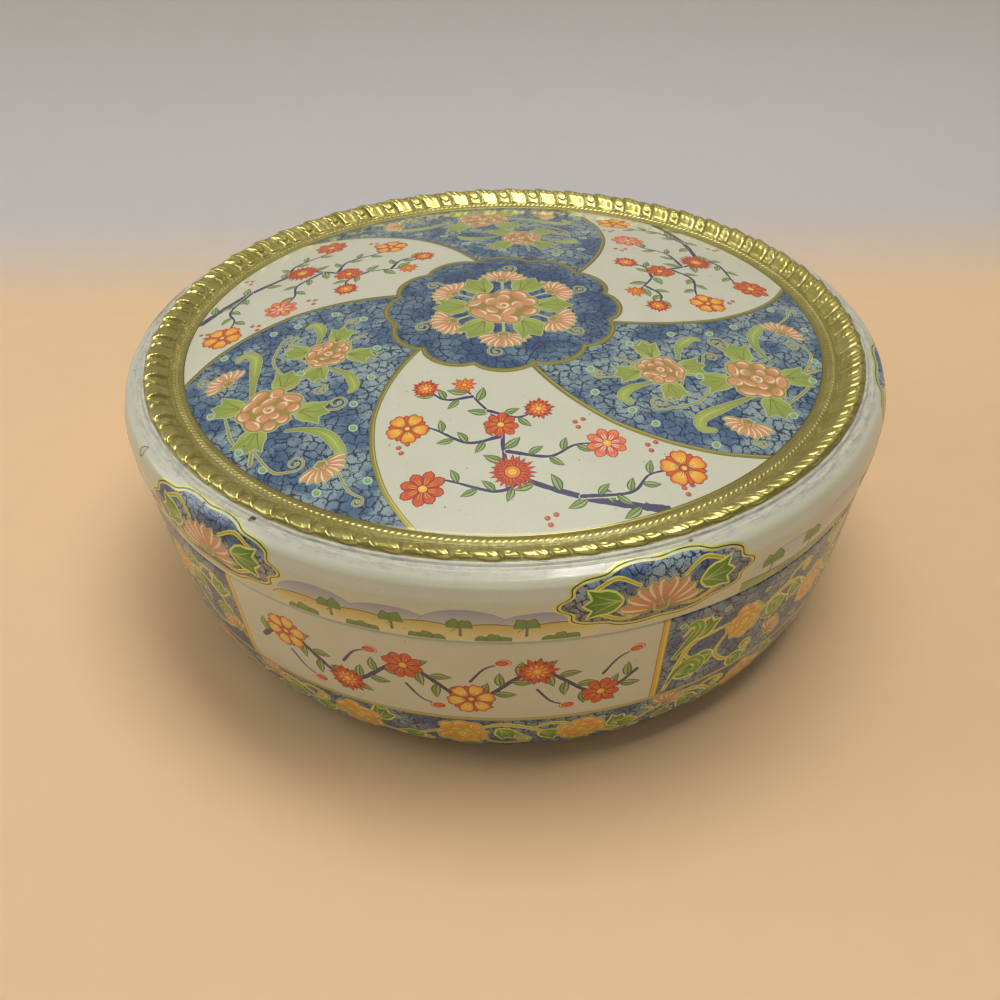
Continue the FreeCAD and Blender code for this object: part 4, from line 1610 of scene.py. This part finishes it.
def rope_height(az, t):
    """Height and level of the rope border; t runs outwards across it.

    A broad scale climbs to a crumpled crest and drops into a thin groove, then comes a lower
    scale with an eye. w runs along one repeat, u along one scale.
    """
    lean = 0.04 * t + 0.30 * t**2.1
    w = (az / TAU * ROPE_REPEATS - lean) % 1.0
    cut = 0.60  # the broad scale's share of a repeat
    big = w < cut
    u = np.where(big, w / cut, (w - cut) / (1 - cut))
    rise = smooth(u, 0.0, np.where(big, 0.12, 0.18))
    climb = np.where(big, 0.50, 0.62) + np.where(big, 0.50, 0.38) * smooth(u, 0.1, 0.86)
    end = 1 - smooth(u, np.where(big, 0.90, 0.84), 0.985)
    arch = 0.86 + 0.18 * np.sin(math.pi * np.clip(0.05 + 0.80 * t, 0, 1))
    h = np.where(big, 0.92, 0.62) * rise * climb * end * arch
    # creases that follow the crest in the outer half, and a short fold behind them
    outer = smooth(t, 0.34, 0.50) * (1 - smooth(t, 0.80, 0.92)) * big
    bend = u - 0.10 * np.sin(TAU * 1.3 * t)
    h -= 0.17 * ridge(bend, 0.74, 0.035) * outer
    h += 0.10 * ridge(bend, 0.62, 0.050) * outer
    h -= 0.12 * ridge(bend, 0.48, 0.035) * outer * smooth(t, 0.46, 0.56)
    fold = smooth(t, 0.10, 0.22) * (1 - smooth(t, 0.52, 0.70)) * big
    h -= 0.08 * ridge(u, 0.34, 0.040) * fold
    # a raised rim round a long eye on the lower scale
    eye_x, eye_y = (w - (cut + 0.46 * (1 - cut))) / 0.115, (t - 0.50) / 0.17
    eye = np.sqrt(eye_x * eye_x + eye_y * eye_y)
    h += 0.15 * ridge(eye, 0.92, 0.20) - 0.22 * ridge(eye, 1.38, 0.19) + 0.10 * ridge(eye, 0, 0.40)
    # scalloped edges: the broad scale reaches further out
    reach = np.where(big, 1.0 - 0.10 * (2 * u - 1.1) ** 2, 0.90 + 0.03 * np.sin(math.pi * u))
    start = np.where(big, 0.015 + 0.05 * (2 * u - 1) ** 2, 0.07)
    edge = smooth(t, start - 0.02, start + 0.085) * (1 - smooth(t, reach - 0.12, reach + 0.005))
    sunk = 0.34 * smooth(t, 0.0, 0.05) * (1 - smooth(t, 0.95, 1.0))
    return h * edge - sunk, np.maximum(h, 0) * edge * 1.45


def bead_height(az, t):
    """Height and level of a fine line of slanting nicks, then a smooth cove."""
    d = (PANEL_END + t * BEAD_WIDTH - 107.75) / 0.78
    w = (az / TAU * BEAD_REPEATS + 0.5 * d) % 1.0
    nick = 0.5 - 0.5 * np.cos(TAU * w)
    h = 0.27 * np.exp(-(d**4)) * (0.15 + 0.85 * nick)
    edge = smooth(t, 0.0, 0.05) * (1 - smooth(t, 0.95, 1.0))
    return h * edge, np.where(np.abs(d) < 1.15, 0.05 + h * 2.9, 0.13)


def relief(name, profile, s_range, columns, rows, height, mats, hollow_shade_levels):
    """An embossed ring of sheet. Levels between hollow_shade_levels fade from full painted shade
    to none.
    """
    az = np.arange(columns) * TAU / columns
    t = np.linspace(0, 1, rows)
    h, level = height(*np.meshgrid(az, t))
    s_lo, s_hi = s_range
    p, n = profile.at(s_lo + (s_hi - s_lo) * t)
    skin_n = revolve(n[:, 0][:, None], n[:, 1][:, None], az)

    def place(offset):
        r = p[:, 0][:, None] + n[:, 0][:, None] * offset
        z = p[:, 1][:, None] + n[:, 1][:, None] * offset
        return revolve(r, z, az)

    def grid_normals(grid, sign):
        across = np.gradient(grid, axis=0)
        g = unit(np.cross(across, np.roll(grid, -1, 1) - np.roll(grid, 1, 1)))
        up = (g * skin_n).sum(2)
        return g * np.sign(np.where(up == 0, 1, up))[..., None] * sign

    top, bottom = place(h), place(h * 0.86 - SHEET)
    j, i = np.meshgrid(np.arange(columns), np.arange(rows - 1))
    a, b = (i * columns + j).ravel(), (i * columns + (j + 1) % columns).ravel()
    c, d = a + columns, b + columns
    upper = np.concatenate([np.stack([a, c, d], 1), np.stack([a, d, b], 1)])
    count = columns * rows
    under = upper[:, ::-1] + count
    j = np.arange(columns)
    rims = []
    for row, direction in ((0, 1), (rows - 1, -1)):
        a, b = j + row * columns, (j + 1) % columns + row * columns
        f = np.concatenate([np.stack([a, b, b + count], 1),
                            np.stack([a, b + count, a + count], 1)])
        rims.append(f[:, ::direction])
    rims = np.concatenate(rims)
    verts = np.vstack([top.reshape(-1, 3), bottom.reshape(-1, 3)])
    skins = np.vstack([grid_normals(top, 1).reshape(-1, 3),
                       grid_normals(bottom, -1).reshape(-1, 3)])
    normals = np.vstack([skins[upper].reshape(-1, 3), skins[under].reshape(-1, 3),
                         np.repeat(unit(face_normals(verts, rims)), 3, 0)])
    # hollow: how much painted shade each vertex gets, most in the low places
    hollow = np.tile((1 - smooth(level, *hollow_shade_levels)).ravel(), 2)
    mat = np.r_[np.zeros(len(upper), int), np.ones(len(under) + len(rims), int)]
    return mesh_piece(name, verts, np.vstack([upper, under, rims]), mats, mat, normals,
                      hollow=hollow)


# -------------------------------------------------------------------------------------- pieces
lid = Profile(LID_PATH, chord=6.0)
body = Profile(WALL_PATH, chord=5.0)

mat_panel = printed("print_panel", cell=3.3, wear=1.0)
# lip: the heights of the painted reflection streaks on the lip
mat_shoulder = printed("print_shoulder", cell=2.8, wear=0.8, lip=(82.2, 84.2))
mat_wall = printed("print_wall", cell=2.9, wear=0.8)
mat_gilt = gilt_relief()
mat_bare = tinplate("tinplate_bare", cool=(0.60, 0.60, 0.575), warm=(0.50, 0.46, 0.36),
                    lacquer=0.3)
mat_base = tinplate("tinplate_base", cool=(0.58, 0.57, 0.53), warm=(0.50, 0.43, 0.28),
                    lacquer=0.45)

# arc lengths where the lid's pieces meet
s_panel = lid.s_near(PANEL_END, 82.96)
s_bead = lid.s_near(BEAD_END, 83.1)
s_rope = lid.s_near(*ROPE_END)

panel = shell("lid_panel_print", top_art(), PlanDomain(lid, PANEL_END), 720, 120,
              [float(r) for r in lid.face[:, 0] if 1 < r < PANEL_END - 0.1],
              (mat_panel, mat_bare))
# hollow_shade_levels: the levels over which the painted shade in the hollows fades out
bead = relief("lid_bead_ring", lid, (s_panel, s_bead), BEAD_REPEATS * 6, 13, bead_height,
              (mat_gilt, mat_bare), hollow_shade_levels=(0.0, 0.9))
rope = relief("lid_rope_ring", lid, (s_bead, s_rope), ROPE_REPEATS * 26, 30, rope_height,
              (mat_gilt, mat_bare), hollow_shade_levels=(0.1, 0.75))
ring = RingDomain(lid, s_rope, lid.arc[-1], SHOULDER_R)
shoulder = shell("lid_shoulder_print", shoulder_art(), ring, 600, 150,
                 [float(ring.rho_of(s)) for s in lid.arc if s > s_rope + 0.05],
                 (mat_shoulder, mat_bare), bare=(lid.s_near(122.0, 61.6), lid.arc[-1] + 1))

s_ledge = body.s_near(122.9, 61.2)
s_split = s_ledge + FOOT_DEPTH
s_seam = body.s_near(102.9, 2.97)
wall_art = body_art(s_ledge)


def part_of_wall(name, s_lo, s_hi, bare):
    """The body between two arc lengths, its art moved to start at s_lo."""
    domain = RingDomain(body, s_lo, s_hi, BODY_R)
    move = (0, s_lo)
    moved = [(p + move, ink, wash and (wash[0] + move, wash[1], wash[2]))
             for p, ink, wash in wall_art]
    rows = [float(domain.rho_of(s)) for s in body.arc if s_lo + 0.02 < s < s_hi - 0.02]
    return shell(name, moved, domain, 720, 180, rows, (mat_wall, mat_bare), bare)


def seam_lap():
    """The lap of the side seam, an upright strip inside the wall at the back."""
    rows, columns = 15, 7
    p, n = body.at(np.linspace(s_ledge + 4.5, s_ledge + 40.0, rows), inner=True)
    az = np.radians(180 + np.linspace(-0.86, 0.86, columns))
    raised = 0.60 * np.array([0, 1, 1, 1, 1, 1, 0.0])
    layers = []
    for offset in (raised, np.full(columns, -0.05)):
        r = p[:, 0][:, None] + n[:, 0][:, None] * offset
        z = p[:, 1][:, None] + n[:, 1][:, None] * offset
        layers.append(revolve(r, z, az).reshape(-1, 3))
    count = rows * columns
    faces = []
    for i in range(rows - 1):
        for j in range(columns - 1):
            a = i * columns + j
            b, c, d = a + 1, a + columns + 1, a + columns
            faces += [(a, b, c), (a, c, d), (a + count, c + count, b + count),
                      (a + count, d + count, c + count)]
    edge = list(range(columns))
    edge += [i * columns + columns - 1 for i in range(1, rows)]
    edge += [(rows - 1) * columns + j for j in range(columns - 2, -1, -1)]
    edge += [i * columns for i in range(rows - 2, 0, -1)]
    for a, b in zip(edge, edge[1:] + edge[:1]):
        faces += [(b, a, a + count), (b, a + count, b + count)]
    ob = mesh_piece("side_seam_lap", np.vstack(layers), np.array(faces), (mat_bare,))
    for polygon in ob.data.polygons:
        polygon.use_smooth = False
    return ob


wall = part_of_wall("tin_wall_print", 0.0, s_split, bare=(-1, s_ledge - 0.6))
foot = part_of_wall("tin_foot_print", s_split, body.arc[-1], bare=(s_seam, body.arc[-1] + 1))
lap = seam_lap()

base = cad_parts["base_plate"]
base.data.materials.clear()
base.data.materials.append(mat_base)

for piece in (panel, bead, rope, shoulder):
    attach(piece, "lid")
    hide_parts("lid_pressing")
for piece in (wall, foot, lap):
    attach(piece, "tin_body")
    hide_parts("body_wall")


# -------------------------------------------------------------------------------------- studio
def studio_paper():
    g = Graph("studio_paper")
    place = g.object_place()
    xyz = g.split(place)
    # the colour turns from warm to grey where the paper curves up
    f = g.ramp(g.plus(xyz[1], g.times(xyz[2], 1.0)), lo=0.16, hi=0.30)
    fleck = g.linear(g.noise(place, scale=60.0, detail=4.0, rough=0.6), gain=0.05, base=0.975)
    colour = g.mix(f, (0.82, 0.56, 0.31, 1), (0.54, 0.53, 0.52, 1))
    return g.finish(Base_Color=g.tint(colour, by=g.grey(fleck)), Roughness=0.62)


def sweep():
    """A floor that curves up into the backdrop behind the tin."""
    bend_y, bend_r = 0.20, 0.16
    outline = [(-2.2, 0.0), (-1.0, 0.0), (-0.3, 0.0), (0.1, 0.0), (bend_y, 0.0)]  # (y, z)
    for k in range(1, 13):
        a = math.radians(90 * k / 12)
        outline.append((bend_y + bend_r * math.sin(a), bend_r - bend_r * math.cos(a)))
    outline += [(bend_y + bend_r, z) for z in (0.5, 1.0, 2.4)]
    xs = np.linspace(-2.4, 2.4, 9)
    n = len(xs)
    verts = [(x, y, z) for y, z in outline for x in xs]
    faces = [(i * n + j, i * n + j + 1, (i + 1) * n + j + 1, (i + 1) * n + j)
             for i in range(len(outline) - 1) for j in range(n - 1)]
    mesh = bpy.data.meshes.new("studio_floor")
    mesh.from_pydata(verts, [], faces)
    for polygon in mesh.polygons:
        polygon.use_smooth = True
    ob = link("studio_floor", mesh)
    mesh.materials.append(studio_paper())
    return ob


def area(name, place, aim, width, depth, power, colour):
    light = bpy.data.lights.new(name, "AREA")
    light.shape = "RECTANGLE"
    light.size, light.size_y, light.energy, light.color = width, depth, power, colour
    ob = bpy.data.objects.new(name, light)
    ob.location = place
    ob.rotation_euler = (Vector(aim) - Vector(place)).to_track_quat("-Z", "Y").to_euler()
    bpy.context.scene.collection.objects.link(ob)


sweep()
area("key", place=(0.12, 0.10, 1.25), aim=(0, 0, 0.05), width=0.95, depth=0.50, power=10.0,
     colour=(1.0, 0.985, 0.95))
area("strip_front", place=(0.15, -0.34, 1.15), aim=(0, 0, 0.05), width=0.9, depth=0.03,
     power=0.8, colour=(1.0, 0.99, 0.96))
area("window", place=(-1.0, 0.20, 0.60), aim=(0, 0, 0.07), width=0.9, depth=0.8, power=4.6,
     colour=(0.97, 0.99, 1.0))
area("fill", place=(0.05, -1.15, 0.50), aim=(0, 0, 0.03), width=1.1, depth=0.45, power=1.7,
     colour=(1.0, 0.95, 0.86))

scene = bpy.context.scene
world = bpy.data.worlds.new("world")
world.use_nodes = True
background = world.node_tree.nodes["Background"]
background.inputs["Color"].default_value = (0.88, 0.90, 0.92, 1)
background.inputs["Strength"].default_value = 0.17
scene.world = world

# -------------------------------------------------------------------------------------- camera
CAMERA_PLACE = (-0.002225, -0.31874, 0.26345)
CAMERA_DOWN = 0.6682  # radians below the horizon
CAMERA_ROLL = -0.02  # radians about its own axis

camera_data = bpy.data.cameras.new("camera")
camera_data.sensor_width = 36.0
camera_data.sensor_fit = "HORIZONTAL"
camera_data.lens = 38.6388
camera_data.clip_start = 0.01
camera = bpy.data.objects.new("camera", camera_data)
camera.matrix_world = (
    Matrix.Translation(CAMERA_PLACE)
    @ Matrix.Rotation(math.pi / 2 - CAMERA_DOWN, 4, "X")
    @ Matrix.Rotation(CAMERA_ROLL, 4, "Z")
)
scene.collection.objects.link(camera)
scene.camera = camera

scene.view_settings.view_transform = "Standard"
scene.view_settings.look = "None"
scene.view_settings.exposure = 0.0
scene.view_settings.gamma = 1.0
scene.display_settings.display_device = "sRGB"

bpy.context.view_layer.update()
